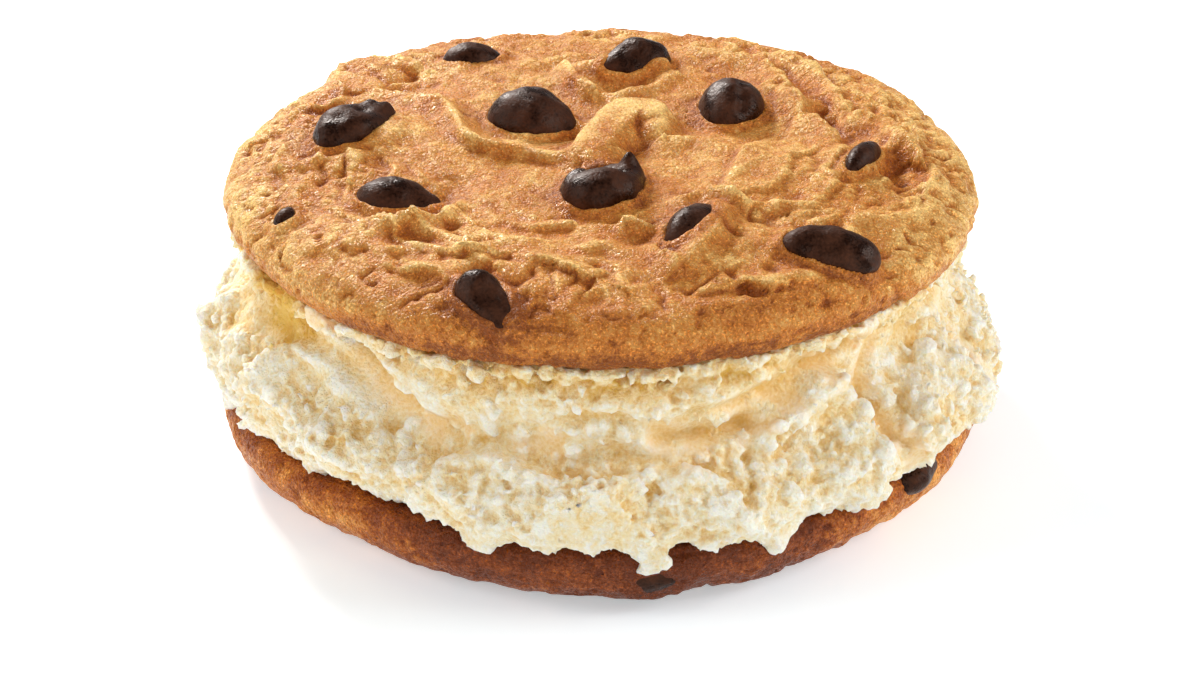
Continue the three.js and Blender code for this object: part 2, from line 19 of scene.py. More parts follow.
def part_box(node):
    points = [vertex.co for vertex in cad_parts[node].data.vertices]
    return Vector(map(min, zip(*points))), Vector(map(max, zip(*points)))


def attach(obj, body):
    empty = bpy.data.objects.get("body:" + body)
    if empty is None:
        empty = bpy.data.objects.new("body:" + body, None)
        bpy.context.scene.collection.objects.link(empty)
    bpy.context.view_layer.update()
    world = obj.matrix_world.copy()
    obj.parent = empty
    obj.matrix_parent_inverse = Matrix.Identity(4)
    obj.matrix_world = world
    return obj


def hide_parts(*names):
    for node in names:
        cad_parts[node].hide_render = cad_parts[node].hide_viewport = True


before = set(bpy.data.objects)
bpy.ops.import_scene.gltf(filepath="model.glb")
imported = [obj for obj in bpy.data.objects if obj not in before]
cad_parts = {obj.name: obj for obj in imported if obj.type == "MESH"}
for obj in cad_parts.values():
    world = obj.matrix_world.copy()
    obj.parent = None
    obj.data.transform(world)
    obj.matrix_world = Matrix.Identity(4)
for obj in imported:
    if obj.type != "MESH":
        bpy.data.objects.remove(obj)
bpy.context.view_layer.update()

# %% [markdown]
# ## Camera, floor and light
#
# The sandwich is seen from the front and from a little above, through a long lens, so that it
# keeps its shape. It lies on a white table under a broad soft light from behind on the left,
# which draws every fold of the dough and makes the rims of the ice cream glow, while white
# surroundings fill the shadows.

# %% Camera
MM = 0.001  # the lesson counts in millimetres, and Blender in metres
CAMERA_DISTANCE = 300 * MM
CAMERA_HEIGHT_ANGLE = math.radians(25.3)
CAMERA_BASE = 20 * MM  # the height on the sandwich that the angle is measured from
AIM_HEIGHT = 10 * MM  # aiming a little low sets the sandwich high in the frame
FILM_WIDTH = 36  # film and lens are counted in millimetres of their own
LENS = 73.14

camera_data = bpy.data.cameras.new("camera")
camera_data.sensor_width = FILM_WIDTH
camera_data.lens = LENS
camera = bpy.data.objects.new("camera", camera_data)
bpy.context.scene.collection.objects.link(camera)
camera.location = (
    0,
    -CAMERA_DISTANCE * math.cos(CAMERA_HEIGHT_ANGLE),
    CAMERA_BASE + CAMERA_DISTANCE * math.sin(CAMERA_HEIGHT_ANGLE),
)
aim = Vector((0, 0, AIM_HEIGHT))
camera.rotation_euler = (aim - camera.location).to_track_quat("-Z", "Y").to_euler()
bpy.context.scene.camera = camera
print("camera at", [round(x / MM, 1) for x in camera.location], "mm")

# %% Lamps
LAMP_AIM = Vector((0, 0, 20 * MM))


def soft_light(name, place, size, watts, colour):
    """A square lamp that looks at the sandwich, its place and size in metres."""
    data = bpy.data.lights.new(name, "AREA")
    data.size = size
    data.energy = watts
    data.color = colour
    lamp = bpy.data.objects.new(name, data)
    lamp.location = place
    lamp.rotation_euler = (LAMP_AIM - lamp.location).to_track_quat("-Z", "Y").to_euler()
    bpy.context.scene.collection.objects.link(lamp)
    print(name, watts, "watts")


soft_light("window_behind", (-0.24, 0.44, 0.33), 0.16, 4.3, (1.0, 0.98, 0.95))
soft_light("left_softbox", (-0.50, -0.14, 0.34), 0.26, 1.05, (0.97, 0.98, 1.0))
soft_light("right_softbox", (0.50, -0.08, 0.32), 0.26, 1.65, (0.97, 0.98, 1.0))
soft_light("front_fill", (0.10, -0.60, 0.28), 0.30, 0.92, (1.0, 0.99, 0.98))

# %% White surroundings
SURROUNDINGS_COLOUR = (1.0, 0.98, 0.99, 1)
SURROUNDINGS_STRENGTH = 0.26

world = bpy.data.worlds.new("white_surroundings")
world.use_nodes = True
background = world.node_tree.nodes["Background"].inputs
background["Color"].default_value = SURROUNDINGS_COLOUR
background["Strength"].default_value = SURROUNDINGS_STRENGTH
bpy.context.scene.world = world
bpy.context.scene.view_settings.view_transform = "Standard"
print("surroundings", SURROUNDINGS_STRENGTH)

# %% [markdown]
# ## Small tools
#
# Natural surfaces need numbers that look random but come out the same each time. A lattice
# of such numbers, blended smoothly, gives soft noise, and the distance to a scatter of points
# gives rounded cells, which serve for crumbs. Blender's own textures could drive a Displace
# modifier instead, but the same noise shaped the solids, so the fine pieces follow them.

# %% Numbers that look random
HALF_RANGE = 2147483647.5  # half of the largest number of 32 bits


def smooth(low, high, x):
    t = np.clip((x - low) / (high - low), 0, 1)
    return t * t * (3 - 2 * t)


def mix(a, b, t):
    return a + (b - a) * t


def lattice_value(ix, iy, iz, seed):
    """A repeatable number from -1 to 1 for each point of a whole-number lattice."""
    # Large odd factors and shifts scramble the bits of the place and of the seed.
    ix, iy, iz = (np.atleast_1d(i).astype(np.int64).astype(np.uint32) for i in (ix, iy, iz))
    h = ix * np.uint32(0x27D4EB2D) ^ iy * np.uint32(0x165667B1) ^ iz * np.uint32(0x9E3779B1)
    h = h ^ np.uint32((seed * 0x85EBCA6B) & 0xFFFFFFFF)
    h = (h ^ (h >> np.uint32(15))) * np.uint32(0x2C1B3C6D)
    h = (h ^ (h >> np.uint32(12))) * np.uint32(0x297A2D39)
    return (h ^ (h >> np.uint32(15))) / HALF_RANGE - 1


def soft_noise(points, cell, seed):
    """Smooth noise from -1 to 1 whose lumps are about one cell apart, in millimetres."""
    p = points / cell
    corner = np.floor(p)
    u, v, w = (t * t * (3 - 2 * t) for t in (p - corner).T)
    ix, iy, iz = corner.T

    def edge(j, k):
        near, far = (lattice_value(ix + i, iy + j, iz + k, seed) for i in (0, 1))
        return mix(near, far, u)

    return mix(mix(edge(0, 0), edge(1, 0), v), mix(edge(0, 1), edge(1, 1), v), w)


def layered(points, layers):
    """The sum of several noises, each given as its height, its cell and its seed."""
    return sum(height * soft_noise(points, cell, seed) for height, cell, seed in layers)


print("noise at the origin:", soft_noise(np.zeros((1, 3)), 1.0, 1))

# %% Rounded cells
SCATTER = 0.45  # how far a point may lie from the middle of its cell, in cells


def cell_distance(points, cell, seed):
    """The distance to the nearest of a scatter of points, one to a cell, in cells."""
    p = points / cell
    corner = np.floor(p)
    nearest = np.full(len(p), np.inf)
    for step in np.ndindex(3, 3, 3):
        near = corner + np.array(step) - 1
        offset = np.stack([0.5 + SCATTER * lattice_value(*near.T, seed + k) for k in range(3)], 1)
        nearest = np.minimum(nearest, np.linalg.norm(near + offset - p, axis=1))
    return nearest


print("cells away from the origin:", cell_distance(np.zeros((1, 3)), 1.0, 1).round(2))

# %% [markdown]
# A mesh can be changed point by point in edit mode, but a cookie has some ninety thousand
# points. So they are read into one array, moved together and written back. A modifier is
# applied by reading the mesh that it leaves.


# %% Reading and moving the points of a mesh
def points_of(mesh):
    flat = np.empty(len(mesh.vertices) * 3)
    mesh.vertices.foreach_get("co", flat)
    return flat.reshape(-1, 3) / MM


def move_points(mesh, points):
    mesh.vertices.foreach_set("co", (points * MM).ravel())
    mesh.update()


def normals_of(mesh):
    flat = np.empty(len(mesh.vertices) * 3, np.float32)
    mesh.vertex_normals.foreach_get("vector", flat)
    return flat.reshape(-1, 3).astype(float)


def as_mesh(bm, name):
    mesh = bpy.data.meshes.new(name)
    bm.to_mesh(mesh)
    bm.free()
    return mesh


def after_modifier(mesh, kind, **settings):
    """The mesh as a modifier with these settings leaves it."""
    carrier = bpy.data.objects.new("carrier", mesh)
    bpy.context.scene.collection.objects.link(carrier)
    modifier = carrier.modifiers.new(kind.lower(), kind)
    for setting, value in settings.items():
        setattr(modifier, setting, value)
    shaped = carrier.evaluated_get(bpy.context.evaluated_depsgraph_get())
    made = bpy.data.meshes.new_from_object(shaped)
    bpy.data.objects.remove(carrier)
    bpy.data.meshes.remove(mesh)
    return made


# %% A rounded copy of a solid
SAME_POINT = 0.005 * MM  # corners closer together than this are one


def refined_solid(node, levels):
    """A copy of a solid's mesh with its corners merged, rounded and divided."""
    bm = bmesh.new()
    bm.from_mesh(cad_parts[node].data)
    bmesh.ops.remove_doubles(bm, verts=bm.verts, dist=SAME_POINT)
    bmesh.ops.recalc_face_normals(bm, faces=bm.faces)
    copy = as_mesh(bm, node + "_fine")
    return after_modifier(copy, "SUBSURF", levels=levels, render_levels=levels)


# %% [markdown]
# ## The finishes
#
# A material starts from what the real thing is. One function turns a colour as it is named on
# screens into the linear values that Blender works with, and one adds a node with its settings
# and its links. Sockets that share a name are counted from nought. A Math node works on 0, 1
# and 2. A Map Range node takes value 0 from the range 1 to 2 into the range 3 to 4, and either
# range is nought to one if it isn't given. A Mix node blends 6 and 7, or 4 and 5 if they are
# vectors, by the share 0.


# %% Colours and nodes
def linear(hex_colour):
    """The linear colour of an sRGB hex value."""
    channels = [int(hex_colour[i : i + 2], 16) / 255 for i in (1, 3, 5)]
    return [c / 12.92 if c <= 0.04045 else ((c + 0.055) / 1.055) ** 2.4 for c in channels] + [1]


def add(material, kind, inputs=(), out=0, **settings):
    """Adds a node and returns the output that out names. Settings are the node's own options,
    and inputs are values or the sockets linked in."""
    tree = material.node_tree
    node = tree.nodes.new(kind)
    for setting, value in settings.items():
        setattr(node, setting, value)
    for socket, value in dict(inputs).items():
        if isinstance(value, bpy.types.NodeSocket):
            tree.links.new(value, node.inputs[socket])
        else:
            node.inputs[socket].default_value = value
    return node.outputs[out]


def new_material(name):
    material = bpy.data.materials.new(name)
    material.use_nodes = True
    material.node_tree.nodes.remove(material.node_tree.nodes["Principled BSDF"])
    return material


def surface(material, shader):
    output = material.node_tree.nodes["Material Output"]
    material.node_tree.links.new(shader, output.inputs["Surface"])
    print("material", material.name)


def blended_colours(m, value, first, steps):
    """Passes from the first colour to each deeper one while a value rises from low to high."""
    colour = linear(first)
    for low, high, deeper in steps:
        share = add(m, "ShaderNodeMapRange", {0: value, 1: low, 2: high})
        blend = {0: share, 6: colour, 7: linear(deeper)}
        colour = add(m, "ShaderNodeMix", blend, out=2, data_type="RGBA")
    return colour


# %% [markdown]
# Baked butter dough: flour, brown sugar and egg, browned by the oven. Its skin is matt with
# tiny sugar crystals and oily specks that sparkle, so roughness and bump change from grain to
# grain. Dry crests and flats are pale gold, partly as painted light. The colour deepens to orange
# brown along the rim, which bakes first, and in the hollows and round the chips, where the darker
# colour is painted shade. The crystals are brightened as painted glints. One noise over one
# colour would look like painted clay, so a row of colours is driven by how far each spot has
# baked. Each cookie's mesh carries a value for this, with painted light and shade added to it,
# and "hollow" for the depth of its cracks, which also darkens them, partly as painted shade. A
# little light passes through the skin.

# %% Patterns of the dough
GRAIN = 0.36 * MM  # flour and sugar
CRYSTAL = 0.24 * MM  # crystals and oily specks
CRUMB = 1.05 * MM
BLOTCH = 3.2 * MM  # patches that browned together
BEND = 0.9 * MM  # how far the blotches push crumbs and holes out of line
HOLE_SPACING = 1.3 * MM


def steam_holes(m, bent, browned_and_painted_light):
    """1 in round holes of several sizes and 0 between them, fainter where the dough is pale."""
    spacing = {"Vector": bent, "Scale": 1 / HOLE_SPACING}
    away = add(m, "ShaderNodeTexVoronoi", spacing, out="Distance")
    chance = away.node.outputs["Color"]
    size = add(m, "ShaderNodeMapRange", {0: chance, 1: 0.45, 2: 0.85, 3: 0.0, 4: 0.22})
    hole = add(m, "ShaderNodeMath", {0: size, 1: away}, operation="SUBTRACT")
    hole = add(m, "ShaderNodeMapRange", {0: hole, 1: 0.0, 2: 0.05})
    return add(m, "ShaderNodeMath", {0: hole, 1: browned_and_painted_light}, operation="MULTIPLY", use_clamp=True)


def baked_and_painted_share(m, browned_and_painted_light, blotch, grain, crumb):
    """How far each spot has baked, with the painted light and shade that the piece's own value carries, made
    uneven by the patterns.
    """
    uneven = add(m, "ShaderNodeMath", {0: blotch, 1: 1.3, 2: -1.45}, operation="MULTIPLY_ADD")
    uneven = add(m, "ShaderNodeMath", {0: grain, 1: 1.5, 2: uneven}, operation="MULTIPLY_ADD")
    uneven = add(m, "ShaderNodeMath", {0: crumb, 1: 0.35, 2: uneven}, operation="MULTIPLY_ADD")
    return add(m, "ShaderNodeMath", {0: browned_and_painted_light, 1: uneven}, operation="ADD")


# %% Baked dough
def baked_dough(name, pale, golden, orange, brown, crack):
    m = new_material(name)
    place = add(m, "ShaderNodeTexCoord", out="Object")
    browned_and_painted_light = add(m, "ShaderNodeAttribute", out="Fac", attribute_name="browned_and_painted_light")
    hollow = add(m, "ShaderNodeAttribute", out="Fac", attribute_name="hollow")
    grain = add(m, "ShaderNodeTexNoise", {"Vector": place, "Scale": 1 / GRAIN, "Detail": 3})
    crystal = add(m, "ShaderNodeTexNoise", {"Vector": place, "Scale": 1 / CRYSTAL, "Detail": 1})
    blotch = add(m, "ShaderNodeTexNoise", {"Vector": place, "Scale": 1 / BLOTCH, "Detail": 5})
    bent = add(m, "ShaderNodeMix", {0: BEND, 4: place, 5: blotch}, out=1, data_type="VECTOR")
    crumb = add(m, "ShaderNodeTexVoronoi", {"Vector": bent, "Scale": 1 / CRUMB}, out="Distance")
    hole = steam_holes(m, bent, browned_and_painted_light)

    baked_and_painted_light = baked_and_painted_share(m, browned_and_painted_light, blotch, grain, crumb)
    steps = ((-0.15, 0.32, golden), (0.34, 0.74, orange), (0.76, 1.25, brown))
    colour = blended_colours(m, baked_and_painted_light, pale, steps)
    # Cracks, hollows and steam holes turn towards the crack colour: partly the dough's own colour, partly
    # painted shade in them.
    depth = add(m, "ShaderNodeMapRange", {0: hollow, 1: 0.03, 2: 0.36, 3: 0.0, 4: 0.75})
    holes = {0: hole, 1: 0.7, 2: depth}
    depth = add(m, "ShaderNodeMath", holes, operation="MULTIPLY_ADD", use_clamp=True)
    cracks = {0: depth, 6: colour, 7: linear(crack)}
    colour = add(m, "ShaderNodeMix", cracks, out=2, data_type="RGBA")
    # Crystals and oily specks are small bright points: partly their own pale colour, partly painted glints.
    glint_and_crystal = add(m, "ShaderNodeMapRange", {0: crystal, 1: 0.55, 2: 0.70, 3: 1.0, 4: 1.65})
    colour = add(m, "ShaderNodeVectorMath", {0: colour, "Scale": glint_and_crystal}, operation="SCALE")

    rough = add(m, "ShaderNodeMapRange", {0: grain, 1: 0.38, 2: 0.62, 3: 0.22, 4: 0.74})
    height = add(m, "ShaderNodeMath", {0: crystal, 1: 0.6, 2: grain}, operation="MULTIPLY_ADD")
    height = add(m, "ShaderNodeMath", {0: crumb, 1: -0.8, 2: height}, operation="MULTIPLY_ADD")
    height = add(m, "ShaderNodeMath", {0: hole, 1: -1.5, 2: height}, operation="MULTIPLY_ADD")
    bump = add(m, "ShaderNodeBump", {"Height": height, "Strength": 1.0, "Distance": GRAIN})
    skin = {
        "Base Color": colour,
        "Roughness": rough,
        "Normal": bump,
        "IOR": 1.45,
        "Specular IOR Level": 0.36,
        "Subsurface Weight": 0.05,
        "Subsurface Radius": (1.0, 0.5, 0.2),
        "Subsurface Scale": 0.6 * MM,
    }
    surface(m, add(m, "ShaderNodeBsdfPrincipled", skin))
    return m


# The colours run from pale over golden, orange and brown to that of the cracks.
upper_dough = baked_dough("baked_butter_dough", "#F6C676", "#D08E40", "#C07226", "#884612", "#94480C")
# The lower cookie's colours are darker: partly its own browner crust, partly painted shade under the ice
# cream.
lower_dough_with_shade = baked_dough("browned_and_shaded_butter_dough", "#E8A24C", "#B9681F", "#8E430C", "#682C04", "#5C2206")

# %% [markdown]
# Vanilla ice cream: frozen cream full of air and small ice crystals. Light goes deep into it
# and comes back warm, so crumbs are almost white while the crevices glow yellow. A volume would
# show this best and render slowest, so subsurface scattering stands in for it, and the yellow
# of the crevices and of the shade under the upper cookie is painted shade and glow in the
# colour as well. Where a spatula has dragged the cream, it is smooth, tan and wet. The mesh
# carries "hollow" for the crevices and that painted shade, and "dragged" for the smooth places.

# %% Ice cream
ICE_CRYSTAL = 0.40 * MM
RICH_PATCH = 4.0 * MM  # patches of richer cream
LIGHT_DEPTH = 0.65 * MM  # how far light goes in before it comes back


def frozen_cream(name):
    m = new_material(name)
    place = add(m, "ShaderNodeTexCoord", out="Object")
    hollow = add(m, "ShaderNodeAttribute", out="Fac", attribute_name="hollow")
    dragged = add(m, "ShaderNodeAttribute", out="Fac", attribute_name="dragged")
    frost = add(m, "ShaderNodeTexNoise", {"Vector": place, "Scale": 1 / ICE_CRYSTAL, "Detail": 3})
    patch = add(m, "ShaderNodeTexNoise", {"Vector": place, "Scale": 1 / RICH_PATCH, "Detail": 4})
    tone_and_painted_light = add(m, "ShaderNodeMath", {0: patch, 1: 1.2, 2: -1.14}, operation="MULTIPLY_ADD")
    tone_and_painted_light = add(m, "ShaderNodeMath", {0: frost, 1: 1.4, 2: tone_and_painted_light}, operation="MULTIPLY_ADD")
    # The value "hollow" brings the painted shade of the crevices and under the upper cookie, and the painted
    # glow; patches and frost add the cream's own tone.
    shade_and_tone = add(m, "ShaderNodeMath", {0: hollow, 1: tone_and_painted_light}, operation="ADD")
    steps = ((-0.35, 0.35, "#F9E0AE"), (0.30, 1.10, "#E6B858"))
    colour = blended_colours(m, shade_and_tone, "#FFF4E5", steps)
    tan = add(m, "ShaderNodeMapRange", {0: dragged, 1: 0.3, 2: 1.0, 3: 0.0, 4: 0.28})
    smeared = {0: tan, 6: colour, 7: linear("#E0B878")}
    colour = add(m, "ShaderNodeMix", smeared, out=2, data_type="RGBA")

    rough = add(m, "ShaderNodeMapRange", {0: dragged, 3: 0.62, 4: 0.38})
    coarse = add(m, "ShaderNodeMapRange", {0: dragged, 3: 1.0, 4: 0.4})
    bump = add(m, "ShaderNodeBump", {"Height": frost, "Strength": coarse, "Distance": 0.55 * MM})
    cream = {
        "Base Color": colour,
        "Roughness": rough,
        "Normal": bump,
        "IOR": 1.33,
        "Subsurface Weight": 0.8,
        "Subsurface Radius": (1.0, 0.87, 0.60),
        "Subsurface Scale": LIGHT_DEPTH,
    }
    surface(m, add(m, "ShaderNodeBsdfPrincipled", cream))
    return m


vanilla = frozen_cream("scooped_vanilla_ice_cream")

# %% [markdown]
# Dark chocolate that has been through the oven: the chips have softened and set again, which
# leaves them dull and dusty with fat bloom, and shiny only where the melt ran smooth. Bloom is
# a film rather than a colour, so the same pattern makes the chocolate paler and rougher.

# %% Chocolate
BLOOM = 2.4 * MM  # patches of fat bloom
DUST = 0.32 * MM


def baked_chocolate(name):
    m = new_material(name)
    place = add(m, "ShaderNodeTexCoord", out="Object")
    bloom = add(m, "ShaderNodeTexNoise", {"Vector": place, "Scale": 1 / BLOOM, "Detail": 4})
    dust = add(m, "ShaderNodeTexNoise", {"Vector": place, "Scale": 1 / DUST, "Detail": 3})
    dull = add(m, "ShaderNodeMath", {0: dust, 1: 0.5, 2: bloom}, operation="MULTIPLY_ADD")
    colour = blended_colours(m, dull, "#1C0903", [(0.60, 0.95, "#482819")])
    rough = add(m, "ShaderNodeMapRange", {0: dull, 1: 0.60, 2: 0.95, 3: 0.24, 4: 0.62})
    bump = add(m, "ShaderNodeBump", {"Height": dust, "Strength": 0.8, "Distance": 0.12 * MM})
    melt = {
        "Base Color": colour,
        "Roughness": rough,
        "Normal": bump,
        "IOR": 1.48,
        "Specular IOR Level": 0.20,
        "Specular Tint": (1.0, 0.72, 0.58, 1),
    }
    surface(m, add(m, "ShaderNodeBsdfPrincipled", melt))
    return m


chocolate = baked_chocolate("baked_dark_chocolate")

# %% [markdown]
# ## The chocolate chips
#
# A chip is a drop of chocolate that has slumped in the oven. The solid gives its size and place.
# Its copy is rounded by a Subdivision Surface and then dented, because no two chips set alike.
# The dents could be sculpted, but a short list of places, radii and depths can be read and
# changed. The chips come before the dough, since the dough is fitted to them.

# %% Dents and peaks of the chips
# Dents, and bumps where the depth is negative: place from the chip's middle, radius, depth.
CHIP_DENTS = {
    "top_chip_02": [((-1.6, -2.6, 1.8), 1.8, 0.5), ((1.8, 0.8, 2.8), 1.5, 0.3)],
    "top_chip_03": [((1.0, 0.6, 3.0), 1.9, 1.3), ((-1.8, -2.4, 2.4), 1.2, 0.45),
                    ((-2.6, 2.0, 2.4), 1.3, 0.4)],
    "top_chip_04": [((3.6, -4.0, 1.6), 2.6, 0.9), ((-3.6, -4.2, 0.4), 2.2, 0.5),
                    ((3.8, 1.0, 3.0), 1.6, 0.4)],
    "top_chip_05": [((1.2, -3.4, 1.4), 0.8, 0.8), ((1.3, -2.2, 2.8), 0.8, 1.0),
                    ((1.4, -0.4, 3.5), 0.8, 1.0), ((1.5, 1.6, 3.4), 0.8, 0.8),
                    ((0.1, -1.6, 3.3), 0.7, -0.4), ((0.1, 0.6, 3.7), 0.7, -0.4),
                    ((2.9, -1.4, 2.6), 0.7, -0.3)],
    "top_chip_07": [((1.6, -2.4, 1.6), 1.8, 0.5), ((-1.2, 0.4, 2.8), 1.2, 0.3)],
    "top_chip_08": [((-0.2, 1.6, 3.0), 2.7, 2.3), ((2.4, -0.4, 2.6), 1.0, 0.7),
                    ((-3.2, -0.6, 2.4), 1.0, 0.5), ((0.2, -3.4, 1.6), 1.6, -0.3)],
    "top_chip_10": [((0, -3.2, 1.6), 3.8, 0.9), ((-3.4, 0.8, 2.4), 1.6, -0.3)],
    "top_chip_11": [((3.2, -3.4, -0.8), 1.0, 0.9), ((0.6, -1.4, 1.6), 2.2, 1.2),
                    ((-0.6, 1.6, 1.6), 0.9, -0.5), ((2.0, -0.6, 1.4), 0.8, -0.5)],
}
# Peaks that stand up: place seen from above, radius, height.
CHIP_PEAKS = {
    "top_chip_03": [((3.9, 3.4), 1.1, 1.0), ((1.6, 3.6), 0.9, 0.5)],
    "top_chip_08": [((3.1, 2.6), 1.0, 1.7), ((-3.8, 0.6), 1.3, 0.5)],
}
# The rising dough would cover some chips, so they are moved: right, back and up.
CHIP_MOVES = {
    "top_chip_01": (0, -0.8, 0.5), "top_chip_02": (0, -0.9, 0.3), "top_chip_03": (0, -0.8, 0.6),
    "top_chip_04": (0, -0.5, 0.1), "top_chip_06": (0.3, -0.1, 0.9), "top_chip_07": (0, -0.6, 0.1),
    "top_chip_08": (0, -0.5, 0.2), "top_chip_09": (0.4, 0, 0.2), "top_chip_10": (-0.3, -1.0, 0.8),
    "top_chip_11": (0.3, -0.6, 1.3), "top_chip_12": (0, -0.2, 0.5),
    "bottom_chip_02": (0, -1.7, 0.8), "bottom_chip_09": (1.0, -0.6, -0.3),
}
print("dented:", *CHIP_DENTS)

# %% Chips
CHIP_SAG = 0.055  # how far the rim of an upper chip has slumped, as a share of its width
CHIP_SWELL = 0.12  # rounding a drop shrinks it by about this much, in millimetres
CHIP_LEVELS = 2


def chip_mesh(node):
    """A chip's solid, rounded, dented, drawn up into its peaks, slumped and moved."""
    mesh = refined_solid(node, CHIP_LEVELS)
    points = points_of(mesh)
    low, high = (np.array(corner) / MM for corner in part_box(node))
    middle, size = (low + high) / 2, high - low
    swelling = CHIP_SWELL + layered(points, [(0.26, 3.4, 301), (0.14, 1.3, 302), (0.05, 0.6, 303)])
    for place, radius, depth in CHIP_DENTS.get(node, []):
        away = np.linalg.norm(points - middle - place, axis=1)
        swelling = swelling - depth * np.exp(-((away / radius) ** 2))
    upper = smooth(0.3, 0.8, (points[:, 2] - low[2]) / size[2])
    for place, radius, height in CHIP_PEAKS.get(node, []):
        away = np.linalg.norm(points[:, :2] - middle[:2] - place, axis=1)
        points[:, 2] += upper * height * np.exp(-((away / radius) ** 2))
    points = points + normals_of(mesh) * swelling[:, None]
    across = 2 * (points[:, :2] - middle[:2]) / size[:2]
    if node.startswith("top"):
        points[:, 2] -= CHIP_SAG * size[:2].mean() * np.sum(across**2, axis=1)
    move_points(mesh, points + CHIP_MOVES.get(node, (0, 0, 0)))
    return mesh


chip_meshes = {node: chip_mesh(node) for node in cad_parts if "_chip_" in node}
print(len(chip_meshes), "chips")

# %% [markdown]
# ## The cookies
#
# A cookie is one sheet of points bent round its section: a square grid is made once, turned
# into a disc, and laid over the dome, round the rim and under the flat side, where the
# last ring is closed. Laying the relief on such an even sheet is simpler than sculpting, and
# the folds, listed below as lines with a height and a width on each side, stay easy to move.


# %% Folds and swells
def crest(path, height, left, right, power=2):
    """A fold along a line of points, with its height and its width on either side. A higher
    power flattens its top and steepens its sides."""
    return {"path": path, "height": height, "left": left, "right": right, "power": power}


def along_path(x, y, path):
    """The signed distance to a line of points, positive on its left, and the share along it."""
    best = np.full(len(x), np.inf)
    share = np.zeros(len(x))
    for i, ((ax, ay), (bx, by)) in enumerate(zip(path, path[1:])):
        dx, dy = bx - ax, by - ay
        t = np.clip(((x - ax) * dx + (y - ay) * dy) / (dx * dx + dy * dy), 0, 1)
        ox, oy = x - ax - t * dx, y - ay - t * dy
        distance = np.hypot(ox, oy)
        closer = distance < np.abs(best)
        best = np.where(closer, np.where(dx * oy - dy * ox >= 0, distance, -distance), best)
        share = np.where(closer, (i + t) / (len(path) - 1), share)
    return best, share


def crest_height(x, y, fold):
    """The height of a fold, which fades out towards its two ends."""
    distance, share = along_path(x, y, fold["path"])
    width = np.where(distance > 0, fold["left"], fold["right"])
    ends = np.sqrt(np.sin(np.pi * mix(0.08, 0.92, share)))
    return fold["height"] * ends * np.exp(-np.abs(distance / width) ** fold["power"])


def swell_height(x, y, swell):
    (sx, sy), radius, height = swell
    return height * np.exp(-((x - sx) ** 2 + (y - sy) ** 2) / radius**2)


def heights(x, y, crests, swells):
    """What several folds and swells add up to."""
    folds = sum(crest_height(x, y, fold) for fold in crests)
    return folds + sum(swell_height(x, y, swell) for swell in swells)


middle = np.zeros(1)
print("a swell's height at its middle:", swell_height(middle, middle, ((0, 0), 5, 1.5)))

# %% The folds of the upper cookie
# Paths are points to the right and to the back of the middle, in millimetres.
TOP_FOLDS = [
    crest([(-1.2, -8.0), (0.2, -3.0), (1.8, 1.6), (3.8, 4.6), (6.0, 4.6), (6.8, 2.0)], 2.6, 2.9, 3.6, 3),
    crest([(-4.2, 20.5), (-3, 15), (-0.6, 11.8)], 1.7, 0.9, 1.3),
    crest([(-0.6, 11.8), (2.2, 10.8), (5, 13.5), (8, 17)], 1.1, 1.4, 1.6),
    crest([(-1, 22.6), (3, 22), (6, 22.6), (9, 20)], 1.6, 1.1, 2.4),
    crest([(-26, 13), (-20.5, 9.5), (-17.5, 3), (-15.6, -3.4)], 1.0, 2.4, 1.5),
    crest([(-15.6, -3.4), (-12.5, -5.8), (-8.4, -6.2), (-5, -8.4)], 0.9, 2.6, 0.8),
    crest([(-24, 25.5), (-19.5, 22.4), (-15.5, 21.8), (-12, 22.6)], 0.6, 1.2, 2.6),
    crest([(-34, -7.5), (-30.5, -8.5), (-26, -3.5), (-23.6, 2.5)], 0.8, 1.1, 2.2),
    crest([(-27, -23.6), (-22.5, -24.2), (-18.4, -22.8)], 1.1, 0.9, 1.8),
    crest([(22, 22), (23.8, 12), (26.6, 3), (29.6, -4)], 1.3, 1.2, 2.6),
    crest([(12, 29), (17, 25), (24, 26), (27.5, 20)], 1.2, 1.1, 2.4),
    crest([(9, -19.4), (13.5, -18.4), (17, -20.4), (25, -20)], 1.2, 1.3, 1.6),
    crest([(14.6, -22), (13, -28.5), (9.4, -33.6)], 1.3, 1.2, 3.2),
    crest([(19.5, -35.4), (25, -35.6), (31, -32)], 0.35, 1.0, 1.6),
    crest([(33, 2), (36, -3), (38.4, -9), (37, -16)], 1.1, 1.6, 1.6),
]
print(len(TOP_FOLDS), "folds")

